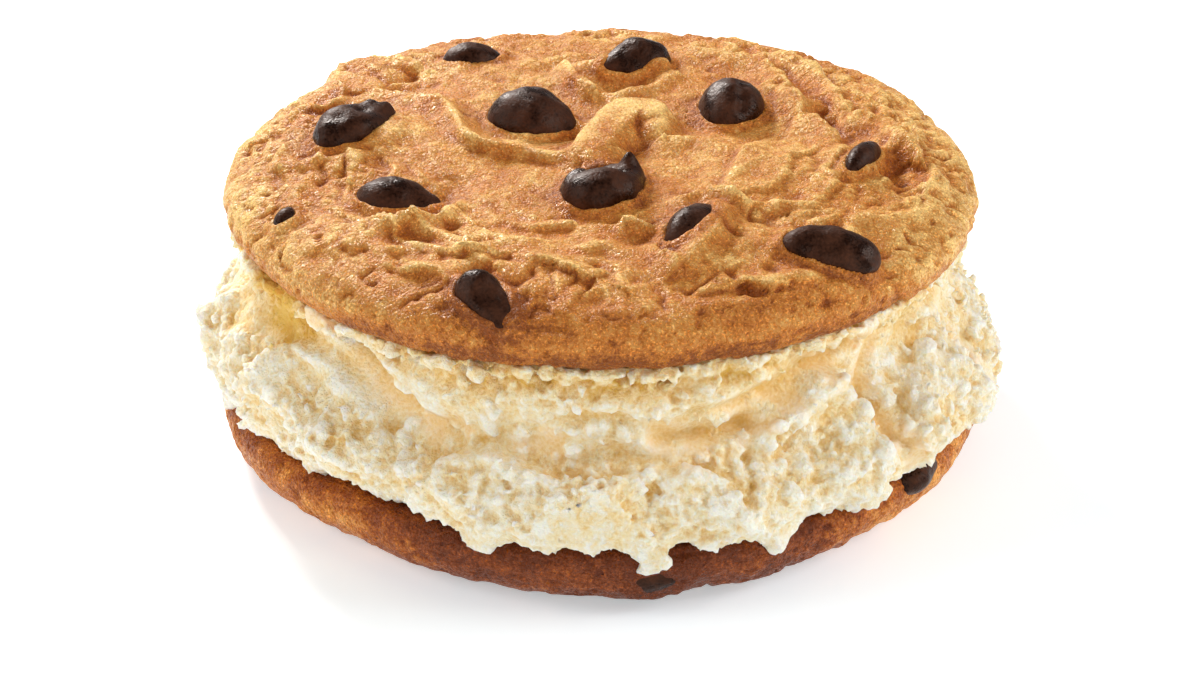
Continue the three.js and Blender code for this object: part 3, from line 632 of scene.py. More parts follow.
# %% Laps, dips and swells
# Sharper edges where the skin has lapped or torn, too narrow for the solid.
TOP_LAPS = [
    crest([(5, -4), (8, -1.6), (12, -1), (16, -3.5)], 0.9, 0.5, 2.4),
    crest([(19, -1), (16.5, -7), (14.5, -15)], 0.9, 2.6, 0.6),
    crest([(-22, -24), (-18, -27), (-15, -31), (-12, -34)], 0.9, 2.0, 0.4),
    crest([(-13, -30), (-9, -29), (-5, -27.3)], 0.6, 0.5, 1.6),
    crest([(-9, -32.5), (-5, -34), (-2, -36.5), (2, -38.6)], 0.9, 2.0, 0.4),
    crest([(13, -36.5), (18, -37), (23, -35)], 0.8, 1.6, 0.4),
    crest([(-36, 10), (-33.5, 8), (-31.5, 13), (-33, 20)], 0.8, 1.8, 0.5),
    crest([(25, 25), (28, 20), (29.5, 14), (30, 9)], 0.9, 0.6, 2.0),
    crest([(31, 6), (35, 5), (37.5, 2), (38, -3)], 0.9, 0.6, 2.4),
    crest([(-38, -9), (-39, -4), (-40, 1)], 0.8, 0.5, 1.8),
    crest([(22, -22), (26, -21), (31, -22), (35, -19)], 0.8, 0.5, 2.0),
    crest([(4, -24.5), (7, -25.5), (6, -30), (8, -33.5)], 1.0, 0.5, 1.6),
    crest([(-6, -22.5), (-2, -24.5), (2, -25), (5, -24)], 0.9, 0.5, 2.0),
    crest([(-16, -20), (-14, -24), (-10, -28.6)], 0.7, 0.5, 2.2),
    crest([(-2.6, -8.0), (-1.4, -2.6), (0.4, 3.0), (2.4, 6.8), (5.6, 7.8), (8.2, 5.6)], 0.9, 0.7, 1.8),
    crest([(-22, 10.4), (-18.9, 7), (-17.3, 2), (-16.3, -3.2), (-12.5, -6.1), (-5.2, -8.2)], 0.8, 1.2, 0.35),
    crest([(-4.4, 20.8), (-3, 15.4), (-0.8, 12)], 1.5, 0.6, 0.8),
]
# Each swell: its middle, its radius and its height, negative for a hollow.
TOP_SWELLS = [
    ((-16.4, 24.4), 3.6, -0.9),
    ((2.2, 17.6), 4.2, -2.2), ((-8, 4), 8.5, -1.3), ((15, 4), 8, -1.1), ((-17.4, -15), 3.2, -1.5),
    ((-22.5, -1), 5, 1.0), ((-24.8, 16.5), 1.9, -1.6), ((10.5, -9), 7.5, -0.9), ((6, -27.6), 3, -1.5),
    ((16, -26.5), 4.5, 0.8), ((27.4, 6.5), 2.4, -1.6), ((-4, -24), 7, -0.6), ((21.5, -9), 6, 0.8),
    ((36, -9), 2.6, -1.0), ((-34, 27), 5.5, 0.9),
]
# Dips that set off the folds beside them, too small for the solid.
TOP_DIPS = [
    ((4.6, -4.6), 2.4, -0.8), ((10.6, 2.5), 2.6, -0.7), ((-22, 16), 3.5, -0.5), ((-18.5, -14.5), 3, -0.6),
]
BOTTOM_SWELLS = [
    ((28, 8), 6, 0.8), ((-6, 31), 6, 0.7), ((-27, -14), 6, 0.8), ((9, -39), 9, 0.8), ((-30, -31), 10, -0.4),
]
print(len(TOP_LAPS), "laps,", len(TOP_DIPS) + len(TOP_SWELLS), "dips and swells on the upper cookie")

# %% Outlines
# How far each outline wanders from a circle: degrees from the front, millimetres.
TOP_OUTLINE = [
    (0, 0.3), (30, 0), (60, 0.4), (85, 0.5), (110, -0.2), (150, 0.4), (172, -1.2), (190, -1.2), (205, 0.9),
    (220, 0.3), (229, 1.1), (238, -1.5), (256, 0.3), (275, 0), (300, -0.6), (325, 0.1),
]
BOTTOM_OUTLINE = [
    (2, 1.4), (18, 1.1), (30, 0.6), (45, 0.7), (60, 0.7), (90, 0.6), (140, -0.2), (185, 0.5), (230, -0.3),
    (270, 0.4), (300, 0.1), (320, -0.6), (342, 0.5),
]


def around(keys, degrees):
    """A value that changes smoothly round the sandwich, from keys of degrees and value."""
    keys = sorted(keys)
    keys = [(keys[-1][0] - 360, keys[-1][1]), *keys, (keys[0][0] + 360, keys[0][1])]
    at = np.mod(degrees, 360)
    value = np.zeros(len(at))
    for (d0, v0), (d1, v1) in zip(keys, keys[1:]):
        value = np.where((at >= d0) & (at < d1), mix(v0, v1, smooth(d0, d1, at)), value)
    return value


print("the upper rim wanders by", around(TOP_OUTLINE, np.arange(0, 360, 90)).round(2), "mm")

# %% Relief
FOLD_GAIN = 1.4  # how much higher than listed the folds stand
TOP_SEED, BOTTOM_SEED = 11, 47


def ridges(points, cell, softness, seed):
    """Rounded ridges where a noise crosses nought, at most 1 high."""
    return 1 - np.hypot(softness, soft_noise(points, cell, seed))


def skin_wrinkles(x, y, seed):
    """Wrinkles of the baked skin, strongest in a ring inside the rim."""
    radius = np.hypot(x, y)
    ring = smooth(14, 30, radius) * (1 - 0.7 * smooth(38, 44, radius))
    none = np.zeros(len(x))
    flat = np.stack([x, y, none], 1)
    # The noise is bent by another one, and a height above the sheet picks a fresh slice of it.
    warp = 2.2 * soft_noise(flat, 9, seed + 1)
    fold = ridges(flat + np.stack([warp, -warp, none + 3.7], 1), 5.2, 0.12, seed + 2)
    crease = ridges(flat + np.stack([warp, warp, none + 1.9], 1), 2.7, 0.15, seed + 4)
    broad = 0.45 * soft_noise(flat + (0, 0, 1.3), 11, seed + 3)
    return (0.4 + 0.6 * ring) * (1.1 * (fold - 0.75) + 0.5 * (crease - 0.75)) + broad


def top_relief(x, y):
    return (
        FOLD_GAIN * heights(x, y, TOP_FOLDS, [])
        + heights(x, y, TOP_LAPS, TOP_DIPS + TOP_SWELLS)
        + skin_wrinkles(x, y, TOP_SEED)
    )


def bottom_relief(x, y):
    """The lower cookie lies on its dome, so its relief is read in a mirror."""
    return heights(x, -y, [], BOTTOM_SWELLS) + skin_wrinkles(x, -y, BOTTOM_SEED)


print("relief in the middle of the upper cookie:", top_relief(middle, middle).round(2), "mm")

# %% [markdown]
# The section is a shallow dome, a rounded rim and a flat side with a rounded edge. The dome is
# a Bezier curve, and both roundings are quarters of an ellipse. They are joined into one line,
# so that a length along the line gives a place on the section.

# %% The section
COOKIE_THICKNESS = 8.5
WIDEST_HEIGHT = 0.3 * COOKIE_THICKNESS
CROWN_HEIGHT = COOKIE_THICKNESS - 0.5  # where the dome passes into the rim
EDGE_ROUNDING = 2.2
DOME_PULL = 0.55  # where the dome's control point lies, as a share of its reach
TOP_RADIUS, TOP_SHOULDER = 45, 12  # the shoulder is how wide the rounded rim is
BOTTOM_RADIUS, BOTTOM_SHOULDER = 46.8, 7


def lengths_along(line):
    steps = np.linalg.norm(np.diff(line, axis=0), axis=1)
    return np.concatenate([[0], np.cumsum(steps)])


def cookie_section(radius, shoulder):
    """Reach and height along half a cookie's section, and where its flat side starts."""
    dome_reach = radius - shoulder
    t = np.linspace(0, 1, 400)[:, None]
    first, pull, last = np.array(
        [(0, COOKIE_THICKNESS), (DOME_PULL * dome_reach, COOKIE_THICKNESS), (dome_reach, CROWN_HEIGHT)]
    )
    dome = (1 - t) ** 2 * first + 2 * t * (1 - t) * pull + t**2 * last
    turn = np.linspace(0, np.pi / 2, 300)
    rim_reach = dome_reach + shoulder * np.sin(turn)
    rim_height = WIDEST_HEIGHT + (CROWN_HEIGHT - WIDEST_HEIGHT) * np.cos(turn)
    edge_reach = radius - EDGE_ROUNDING + EDGE_ROUNDING * np.cos(turn)
    edge_height = WIDEST_HEIGHT * (1 - np.sin(turn))
    rim = np.stack([rim_reach, rim_height], 1)
    edge = np.stack([edge_reach, edge_height], 1)
    line = np.concatenate([dome, rim[1:], edge[1:], [[0, 0]]])
    arc = lengths_along(line)
    return line, arc, arc[-2]


print("length over the dome, rim and edge:", cookie_section(TOP_RADIUS, TOP_SHOULDER)[2].round(1))

# %% [markdown]
# A disc made of rings would crowd its points in the middle. A square grid whose squares are
# pushed out into rings spaces them evenly. It is laid along the section ring by ring, and each
# point is then raised by the relief, square to the section.

# %% The sheet
DOME_SHARE = 0.955  # the share of the grid that lies on the dome and the rim
PAST_EDGE = 1.5  # how far that share reaches onto the flat side
CLOSING_REACH = 24  # the last ring's radius on the flat side
FEELER = 0.05  # a short way along the section, to find its direction
SETTLING = 7  # the width over which the dome rises from where it is pressed flat


def closed_grid(name, cells):
    """A square grid from -1 to 1 and the number of the point that closes it behind."""
    bm = bmesh.new()
    bmesh.ops.create_grid(bm, x_segments=cells, y_segments=cells, size=1)
    rim_edges = [edge for edge in bm.edges if edge.is_boundary]
    filled = bmesh.ops.holes_fill(bm, edges=rim_edges, sides=0)
    bmesh.ops.poke(bm, faces=filled["faces"])
    closing = len(bm.verts) - 1
    return as_mesh(bm, name), closing


def ring_and_angle(mesh):
    """How far out each point of the grid lies, and its angle once squares are made circles."""
    a, b = np.array([v.co[:2] for v in mesh.vertices]).T
    ring = np.maximum(np.abs(a), np.abs(b))
    safe = np.where(ring > 0, ring, 1)
    sideways = np.pi / 4 * b / safe * np.sign(a) + np.where(a < 0, np.pi, 0)
    lengthways = np.pi / 2 * np.sign(b) - np.pi / 4 * a / safe * np.sign(b)
    return ring, np.where(np.abs(a) >= np.abs(b), sideways, lengthways)


def dough_sheet(name, radius, shoulder, outline, relief, rest_radius, cells):
    """A cookie with its flat side on z = 0 and its dome up, as one closed sheet. Within
    rest_radius the dome is pressed flat."""
    line, arc, flat_start = cookie_section(radius, shoulder)
    mesh, closing = closed_grid(name, cells)
    ring, angle = ring_and_angle(mesh)
    east, north = np.cos(angle), np.sin(angle)
    last_ring = flat_start + radius - EDGE_ROUNDING - CLOSING_REACH
    length = np.interp(ring, [0, DOME_SHARE, 1], [0, flat_start + PAST_EDGE, last_ring])
    on_dome = length < flat_start
    reach, height = (np.interp(length, arc, line[:, k]) for k in (0, 1))
    before, after = (
        np.stack([np.interp(length + s, arc, line[:, k]) for k in (0, 1)], 1) for s in (-FEELER, FEELER)
    )
    tangent = after - before
    tangent /= np.linalg.norm(tangent, axis=1)[:, None]

    degrees = 90 + np.degrees(np.arctan2(north, east))
    reach = reach + outline(degrees) * smooth(0.5 * radius, radius, reach)
    x, y = reach * east, reach * north
    rise = relief(x, y) * (1 - smooth(0.8 * flat_start, flat_start, length))
    out = reach - tangent[:, 1] * rise
    up = height + tangent[:, 0] * rise
    if rest_radius:
        settled = smooth(rest_radius, rest_radius + SETTLING, np.hypot(x, y))
        pressed = np.minimum(COOKIE_THICKNESS, mix(COOKIE_THICKNESS, up, settled))
        up = np.where(on_dome, pressed, up)
    points = np.stack([out * east, out * north, up], 1)
    points[closing] = (0, 0, 0)
    move_points(mesh, points)
    return mesh


# %% Both cookies in place
TOP_CELLS, BOTTOM_CELLS = 306, 290
BOTTOM_REST = 17  # the lower cookie rests on the table out to this radius
TOP_BASE = 29.3  # height of the upper cookie's flat side
TOP_TILT = 0.9  # it leans towards the front, in degrees


def tilted(points, degrees, lift):
    """The points turned about the X axis and lifted."""
    c, s = math.cos(math.radians(degrees)), math.sin(math.radians(degrees))
    x, y, z = points.T
    return np.stack([x, y * c - z * s, y * s + z * c + lift], 1)


def top_outline(degrees):
    return around(TOP_OUTLINE, degrees)


def bottom_outline(degrees):
    return around(BOTTOM_OUTLINE, 180 - degrees)


top_sheet = dough_sheet(
    "top_dough", TOP_RADIUS, TOP_SHOULDER, top_outline, top_relief, 0, TOP_CELLS
)
move_points(top_sheet, tilted(points_of(top_sheet), TOP_TILT, TOP_BASE))
bottom_sheet = dough_sheet(
    "bottom_dough", BOTTOM_RADIUS, BOTTOM_SHOULDER, bottom_outline, bottom_relief, BOTTOM_REST, BOTTOM_CELLS
)
move_points(bottom_sheet, tilted(points_of(bottom_sheet), 180, COOKIE_THICKNESS))
for sheet in (top_sheet, bottom_sheet):
    print(sheet.name, points_of(sheet).min(0).round(1), points_of(sheet).max(0).round(1))

# %% [markdown]
# ### Crust
#
# The baked skin is pebbly, cracked in long lines that run with the rim, and pitted by steam
# along the edge. Where the dough meets a chip it stands up in a torn little lip. All of it is
# pushed along the surface's normals, layer by layer from coarse to fine. A layer is confined to
# a ring or to patches by smooth(a, b, x), which is nought up to a and one from b on.

# %% Dough against the chips
NEAR_CHIP = 3.5  # further than this from a chip the dough takes no notice of it
FAR = 9.0  # any distance that is far enough
NO_LIP = "bottom_chip_09"  # half under the ice cream, where no dough rises round it


def chips_of(cookie):
    return [node for node in chip_meshes if node.startswith(cookie) and node != NO_LIP]


def distance_to_chips(points, chips):
    """Distance from each point to the nearest chip, negative inside it."""
    nearest = np.full(len(points), FAR)
    for node in chips:
        mesh = chip_meshes[node]
        corners = points_of(mesh)
        low, high = corners.min(0) - NEAR_CHIP, corners.max(0) + NEAR_CHIP
        bm = bmesh.new()
        bm.from_mesh(mesh)
        tree = BVHTree.FromBMesh(bm)
        for i in np.flatnonzero(np.all((points > low) & (points < high), axis=1)):
            place, normal, _, distance = tree.find_nearest(Vector(points[i] * MM))
            side = (Vector(points[i] * MM) - place).dot(normal)
            nearest[i] = min(nearest[i], math.copysign(distance / MM, side))
        bm.free()
    return nearest


print("chips that the upper dough is fitted to:", len(chips_of("top")))

# %% Layers of the crust
SHINGLE_SPACING = 4.6
CRACK_DEPTH, SPLIT_DEPTH, PIT_DEPTH = 0.60, 0.45, 0.28
SHINGLE_HEIGHT, LIP_HEIGHT = 0.75, 0.8
CRUMB_REACH = 0.45  # how far a crumb reaches from its middle, in cells


def shingles_of_skin(points, radius, seed):
    """Skin that slid outwards in steps: it climbs slowly to 1 and drops back to 0."""
    wander = layered(points, [(1.1, 8.5, seed), (0.45, 3.6, seed + 1), (0.08, 1.2, seed + 7)])
    phase = radius / SHINGLE_SPACING + wander
    climb = phase - np.floor(phase)
    steps = np.where(climb < 0.9, (climb / 0.9) ** 2, (1 - climb) / 0.1)
    return steps * smooth(-0.3, 0.5, soft_noise(points, 6.5, seed + 8))


def crumbs_of_skin(bent, points, radius, seed):
    """Crumbs that stand out where the skin has broken up, most of all near the rim."""
    large = 0.75 * (CRUMB_REACH - cell_distance(bent, 2.3, seed + 11))
    small = 0.45 * (CRUMB_REACH - cell_distance(bent, 1.25, seed + 12))
    return (large + small) * smooth(-0.25, 0.45, soft_noise(points, 7, seed + 10)) * smooth(16, 34, radius)


def crack_lines(bent, points, cell, width, seed, patch, low):
    """1 along the lines where a noise crosses nought, which break off where another is low."""
    lines = np.exp(-((soft_noise(bent, cell, seed) / width) ** 2))
    return lines * smooth(low, 0.4, soft_noise(points, patch, seed + 1))


def crusted(mesh, chips, seed, roughness):
    """Lays pebbles, cracks, pits and chip lips on a sheet of dough."""
    points, normals = points_of(mesh), normals_of(mesh)
    radius = np.hypot(points[:, 0], points[:, 1])
    band = smooth(17, 29, radius) * (1 - smooth(39.5, 43.5, radius))
    rim = smooth(34, 42, radius)
    bent = points + 0.5 * np.stack([soft_noise(points, 1.6, seed + k) for k in (13, 14, 15)], 1)
    grains = 0.07 * soft_noise(points, 0.6, seed + 4)
    pebbles = layered(points, [(0.12, 2.4, seed + 2), (0.10, 1.15, seed + 3)])
    crumb = crumbs_of_skin(bent, points, radius, seed)
    shingles = shingles_of_skin(points, radius, seed)
    cracks = crack_lines(bent, points, 4.4, 0.15, seed + 16, 5.2, -0.1)
    cracks = cracks * (0.25 + 0.75 * smooth(22, 32, radius))
    splits = crack_lines(bent, points, 2.1, 0.16, seed + 18, 3.1, 0.0) * smooth(30, 38, radius)
    pits = smooth(0.55, 0.85, layered(points, [(1.0, 1.15, seed + 5), (0.3, 0.6, seed + 6)])) * rim
    torn = 0.55 + 0.45 * soft_noise(points, 1.1, seed + 9)
    gap = distance_to_chips(points, chips)
    lip = LIP_HEIGHT * np.exp(-(((gap - 0.15) / 0.55) ** 2)) * (0.5 + 0.5 * torn)
    calm = smooth(-0.2, 1.8, gap) * (1 - 0.35 * smooth(42.5, 45, radius))
    rise = (
        roughness * (grains + calm * (pebbles + crumb - CRACK_DEPTH * cracks - SPLIT_DEPTH * splits))
        + SHINGLE_HEIGHT * roughness * calm * (shingles - 0.3) * band
        - PIT_DEPTH * pits
        + lip
    )
    move_points(mesh, points + normals * rise[:, None])
    return pits, gap, radius


# %% [markdown]
# ### Browning and painted light
#
# A crust browns by height, by place and by chance: the rim before the middle. Painted light and
# shade go into the same number: hollows and the dough round each chip are darker, crests paler,
# the middle a little darker, the rims paler on the left and right and darker at the front, the
# lit face of the big middle fold paler, and the lower cookie darker under the ice cream's lip.
# Painting it by hand would do, but then it wouldn't follow the relief. So each point gets a
# number that is summed up from such shares, and the material turns it into a colour.


# %% Averages and hollows
def averaged(mesh, values, rounds):
    """Values at the points of a mesh after each has been averaged with its neighbours."""
    ends = np.empty(len(mesh.edges) * 2, np.int32)
    mesh.edges.foreach_get("vertices", ends)
    a, b = ends.reshape(-1, 2).T
    count = np.bincount(a, minlength=len(values)) + np.bincount(b, minlength=len(values))
    values = values.reshape(len(values), -1).astype(float)
    for _ in range(rounds):
        total = [
            np.bincount(a, c[b], len(values)) + np.bincount(b, c[a], len(values)) for c in values.T
        ]
        values = 0.5 * values + 0.5 * (np.stack(total, 1) / np.maximum(count, 1)[:, None])
    return values


def hollow_depth(mesh, rounds):
    """How far each point lies below the averaged surface, in millimetres; above it is negative."""
    points = points_of(mesh)
    return np.sum((averaged(mesh, points, rounds) - points) * normals_of(mesh), axis=1)


def keep_value(mesh, name, values):
    """Stores a number for each point, for a material to read."""
    mesh.attributes.new(name, "FLOAT", "POINT").data.foreach_set("value", values.astype(np.float32))
    print(mesh.name, name, "from", values.min().round(2), "to", values.max().round(2))


# %% Where the oven browned the cookies
# Round each rim the colour changes with the side, as painted light and shade: paler on the
# left and right, darker at the front. Degrees from the front, share.
RIM_BROWNING_AND_PAINTED_LIGHT = {
    "top": [
        (0, 0.16), (35, 0.0), (60, -0.50), (95, -0.50), (140, 0.0), (200, 0.0), (262, -0.60),
        (310, -0.42), (335, 0.0),
    ],
    "bottom": [
        (0, 0.40), (22, 0.35), (45, -0.50), (95, -0.50), (140, 0.1), (220, 0.1), (280, -0.50),
        (318, -0.30), (340, 0.20),
    ],
}
# Places that browned more than their surroundings, or less: middle, radius, share. The pale
# places on the big fold in the middle, from (-3.2, -5) to (7.5, 3.5), are painted light on its
# lit faces.
BROWNED_AND_PAINTED_LIGHT_PLACES = {
    "top": [
        ((-2.6, 15), 1.6, 0.9), ((-3.2, -5), 1.8, -0.55), ((-2.2, 0), 1.8, -0.55),
        ((-0.8, 4.5), 1.8, -0.50), ((3.8, 2.4), 4.4, -0.30), ((3.8, 7.4), 2.0, 0.30),
        ((7.5, 3.5), 2.0, -0.30), ((2.4, 18.5), 3.4, -0.35), ((-17.5, 5), 2.6, 0.30),
        ((-12, -6), 2.4, 0.30), ((10, -18), 2.6, 0.35), ((32, 2), 2.2, 0.30), ((-33, 14), 2.0, 0.35),
        ((-8, 1), 4.5, -0.30), ((-6, 21), 5.0, -0.25), ((0, -13.5), 3.0, 0.25), ((25, -31), 4.0, 0.15),
    ],
    "bottom": [],
}
# Painted light and shade: hollows darker and crests paler, a darker ring round each chip, and a slightly
# darker middle.
FLAT_SHARE, RIM_SHARE, MIDDLE_SHADE_SHARE = 0.28, 0.36, 0.06
BLOTCH_SHARE, DIP_LIGHT_AND_SHADE_SHARE, CHIP_SHADE_SHARE, EDGE_SHARE = 0.22, 0.25, 0.55, 0.60


def browning_and_painted_light(points, normals, cookie, seed, gap, radius, hollow, broad):
    """How far each point has browned, with painted light and shade added, from about 0 where it is pale to 1
    where it is brown.
    """
    x, y, z = points.T
    side = np.degrees(np.arctan2(x, -y))
    # The flat side lay on the hot tin. Its edge is below on the upper cookie and on top of the
    # lower one, where the strip under the ice cream's lip is darkened much more, as painted shade.
    if cookie == "top":
        tin_edge_and_shade = smooth(0.35, -0.5, normals[:, 2])
    else:
        tin_edge_and_shade = 0.15 + 0.6 * smooth(5.5, 8, z)
    return (
        FLAT_SHARE
        + (RIM_SHARE + around(RIM_BROWNING_AND_PAINTED_LIGHT[cookie], side)) * smooth(36, 44.5, radius)
        + BLOTCH_SHARE * soft_noise(points, 7, seed + 6)
        + DIP_LIGHT_AND_SHADE_SHARE * np.clip(broad, -0.7, 0.7)
        + sum(swell_height(x, y, place) for place in BROWNED_AND_PAINTED_LIGHT_PLACES[cookie])
        + np.clip(hollow, -0.4, 0.6)
        + MIDDLE_SHADE_SHARE * (1 - smooth(10, 30, radius))
        + CHIP_SHADE_SHARE * np.exp(-(gap**2))
        + EDGE_SHARE * tin_edge_and_shade
    )


# %% The skin of both cookies
for sheet, cookie, seed, roughness in ((top_sheet, "top", 120, 1.0), (bottom_sheet, "bottom", 160, 0.7)):
    pits, gap, radius = crusted(sheet, chips_of(cookie), seed, roughness)
    hollow = np.clip(hollow_depth(sheet, 12), -1, 1)
    broad = np.clip(hollow_depth(sheet, 90), -2, 2)
    points, normals = points_of(sheet), normals_of(sheet)
    browned_and_painted_light = browning_and_painted_light(points, normals, cookie, seed, gap, radius, hollow, broad)
    keep_value(sheet, "browned_and_painted_light", browned_and_painted_light)
    keep_value(sheet, "hollow", hollow + 0.08 * pits)

# %% [markdown]
# ### Handing the cookies and the chips over
#
# A fine piece stands for its solid, so it must not outgrow it. What has risen past the solid's
# box is eased back, ever more gently the further it went, so that no flat spot shows. Then the
# piece gets its material, rides on the one body of the sandwich and takes the solid's place.

# %% Finished pieces
EASING = 0.5  # how close to its solid's box, in millimetres, a surface starts to be held back


def kept_inside(mesh, node):
    """Gently holds back whatever has grown past the box of its solid."""
    points = points_of(mesh)
    low, high = (np.array(corner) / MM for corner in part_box(node))
    over = points - (high - EASING)
    points = np.where(over > 0, high - EASING * np.exp(-over / EASING), points)
    under = (low[:2] + EASING) - points[:, :2]
    points[:, :2] = np.where(under > 0, low[:2] + EASING * np.exp(-under / EASING), points[:, :2])
    points[:, 2] = np.maximum(points[:, 2], low[2])
    move_points(mesh, points)


def finished_piece(name, mesh, material, nodes):
    """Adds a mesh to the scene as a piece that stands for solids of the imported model."""
    mesh.polygons.foreach_set("use_smooth", np.ones(len(mesh.polygons), bool))
    mesh.materials.clear()
    mesh.materials.append(material)
    piece = bpy.data.objects.new(name, mesh)
    bpy.context.scene.collection.objects.link(piece)
    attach(piece, "root")
    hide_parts(*nodes)
    print(name, "has", sum(len(p.vertices) - 2 for p in mesh.polygons), "triangles")


kept_inside(top_sheet, "top_cookie")
kept_inside(bottom_sheet, "bottom_cookie")
finished_piece("top_dough", top_sheet, upper_dough, ["top_cookie"])
finished_piece("bottom_dough", bottom_sheet, lower_dough_with_shade, ["bottom_cookie"])
for node, mesh in chip_meshes.items():
    finished_piece("chocolate_" + node, mesh, chocolate, [node])

# %% [markdown]
# ## The ice cream
#
# Scooped ice cream tears: it breaks into crumbs and lumps with deep crevices between them, and
# only where a blade has dragged over it is it smooth. Displacing a sheet can't undercut, so
# the wall is built like plaster. A rounded copy of the solid gets its ledges and channels,
# thousands of lumps are pressed into it, and a voxel Remesh turns the heap into one skin. Fine
# noise then frosts that skin.

# %% Ledges
# Each path runs in degrees from the front, to the right, and in millimetres above the table.
LEDGES = [
    crest([(-62, 13), (-57, 20.4), (-51, 23.4), (-44, 23.4), (-38.5, 21.6), (-34, 19.4), (-32, 16)],
          2.2, 0.6, 4.6),
    crest([(-23, 15), (-19, 17.4), (-15.4, 18.2), (-10, 16.6), (-5, 15.0), (2, 15.6), (7, 16.6),
           (12, 16.5), (16, 14.8), (19.5, 12)], 2.7, 0.6, 3.0),
    crest([(21.5, 16), (23.5, 20.6), (29, 22.2), (33, 24), (36.5, 23.5), (39.0, 19), (40.6, 13)],
          3.0, 0.7, 4.0),
    crest([(-8, 23.6), (1.7, 24.4), (6, 23.4), (10.5, 22.8), (13.6, 24.2), (18.3, 24.4), (25.7, 26),
           (30, 27.4)], 1.5, 3.0, 0.6),
    crest([(46, 14), (50, 19), (56, 21), (62, 18), (66, 12)], 1.8, 0.8, 3.6),
    crest([(54, 27), (60, 24.5), (68, 24)], 1.2, 1.6, 1.0),
    crest([(72, 24), (76, 18), (78, 12)], 1.4, 1.6, 1.2),
    crest([(-72, 26), (-78, 19), (-76, 12)], 1.4, 2.2, 1.2),
]
print(len(LEDGES), "ledges")

# %% Channels that a blade has dragged
ARC = 46.5  # millimetres from the axis to the wall, to turn degrees into a width
DRAG_WIDTH = 1.8  # how far the smooth cream reaches to either side of a channel's middle
CHANNELS = [
    crest([(-50, 31), (-43.5, 28), (-38.8, 25.2), (-35.2, 23.0), (-31.4, 21.3), (-28, 19.4), (-22, 18.8)],
          -2.2, 1.8, 1.4),
    crest([(-24, 18.2), (-20, 19.4), (-13, 20.2), (-5.5, 19.4)], -0.9, 2.0, 1.6),
    crest([(8, 20.2), (13.8, 20.2), (18.4, 20.3), (21.7, 21)], -1.8, 1.4, 0.8),
    crest([(18, 22.8), (25.8, 23.9), (32.5, 25.6), (38, 26), (43, 26.6)], -1.6, 1.5, 1.2),
    crest([(9, 19.4), (16, 19.5), (22.6, 20.2), (26.5, 21.5), (30.5, 22.9), (34, 23.6)], -1.6, 0.8, 0.4),
    crest([(44.9, 24.6), (43, 20.5), (43.6, 16), (46.4, 11.9)], -2.0, 1.5, 1.4),
    crest([(66, 25), (69, 19), (70, 13)], -1.2, 1.2, 1.2),
]


def on_wall(points):
    """Degrees from the front, width round the wall, reach and height of points."""
    x, y, z = points.T
    degrees = np.degrees(np.arctan2(x, -y))
    return degrees, np.radians(degrees) * ARC, np.hypot(x, y), z


def laid_round(fold):
    """A fold of the wall with the degrees of its path turned into millimetres."""
    return dict(fold, path=[(math.radians(d) * ARC, h) for d, h in fold["path"]])


def wall_folds(points, folds):
    _, width, reach, z = on_wall(points)
    return heights(width, z, [laid_round(fold) for fold in folds], []) * smooth(38, 42, reach)


def drag_marks(points):
    """1 along the channels that a blade has smoothed, 0 in the torn ice cream."""
    _, width, reach, z = on_wall(points)
    marks = np.zeros(len(points))
    for fold in CHANNELS:
        distance, _ = along_path(width, z, laid_round(fold)["path"])
        marks = np.maximum(marks, np.exp(-((distance / DRAG_WIDTH) ** 2)))
    ragged = smooth(-0.6, 0.2, layered(points, [(1.0, 2.6, 405), (0.5, 1.1, 406)]))
    return marks * ragged * smooth(39, 42, reach)


# %% The slab with its folds
# Where the lower edge is drawn up between its teeth: degrees from the front, millimetres.
DRAWN_UP = [
    (-60, 0), (-8, 0), (1.5, 1.0), (4.6, 1.3), (7.2, -0.4), (9.8, 1.2), (13, 0.8), (17, 0), (60, 0),
]
LUMP_ROOM = 0.6  # the wall is drawn in by this much, to be filled up again by lumps
SLAB_LEVELS = 3

slab = refined_solid("ice_cream", SLAB_LEVELS)
points = points_of(slab)
degrees, _, reach, z = on_wall(points)
shift = wall_folds(points, LEDGES) + wall_folds(points, CHANNELS) - LUMP_ROOM
knobs = layered(points, [(0.75, 4.6, 402), (0.5, 2.3, 403)])
shift = shift + knobs * (1 - drag_marks(points)) * smooth(40, 42.5, reach)
raised = around(DRAWN_UP, degrees) * smooth(13, 8, z)
points = points + normals_of(slab) * shift[:, None]
points[:, 2] += raised * smooth(40, 43, np.hypot(points[:, 0], points[:, 1]))
move_points(slab, points)
print("slab", len(slab.polygons), "faces, folds from", shift.min().round(2), "to", shift.max().round(2))

# %% [markdown]
# ### Lumps pressed into the wall
#
# The crumbs are small balls, each squashed, ragged and turned its own way. Thousands of calls
# of an operator would take minutes, so an operator makes one ball, and its points are copied
# with numpy. Lumps sit thickest on the lower wall, in clumps, and hardly any in a channel.

# %% Balls turned every way
rng = np.random.default_rng(23)


def ball(subdivisions):
    """The points and triangles of a small ball of radius 1."""
    bm = bmesh.new()
    bmesh.ops.create_icosphere(bm, subdivisions=subdivisions, radius=1)
    corners = np.array([v.co for v in bm.verts])
    faces = np.array([[v.index for v in f.verts] for f in bm.faces])
    bm.free()
    return corners, faces


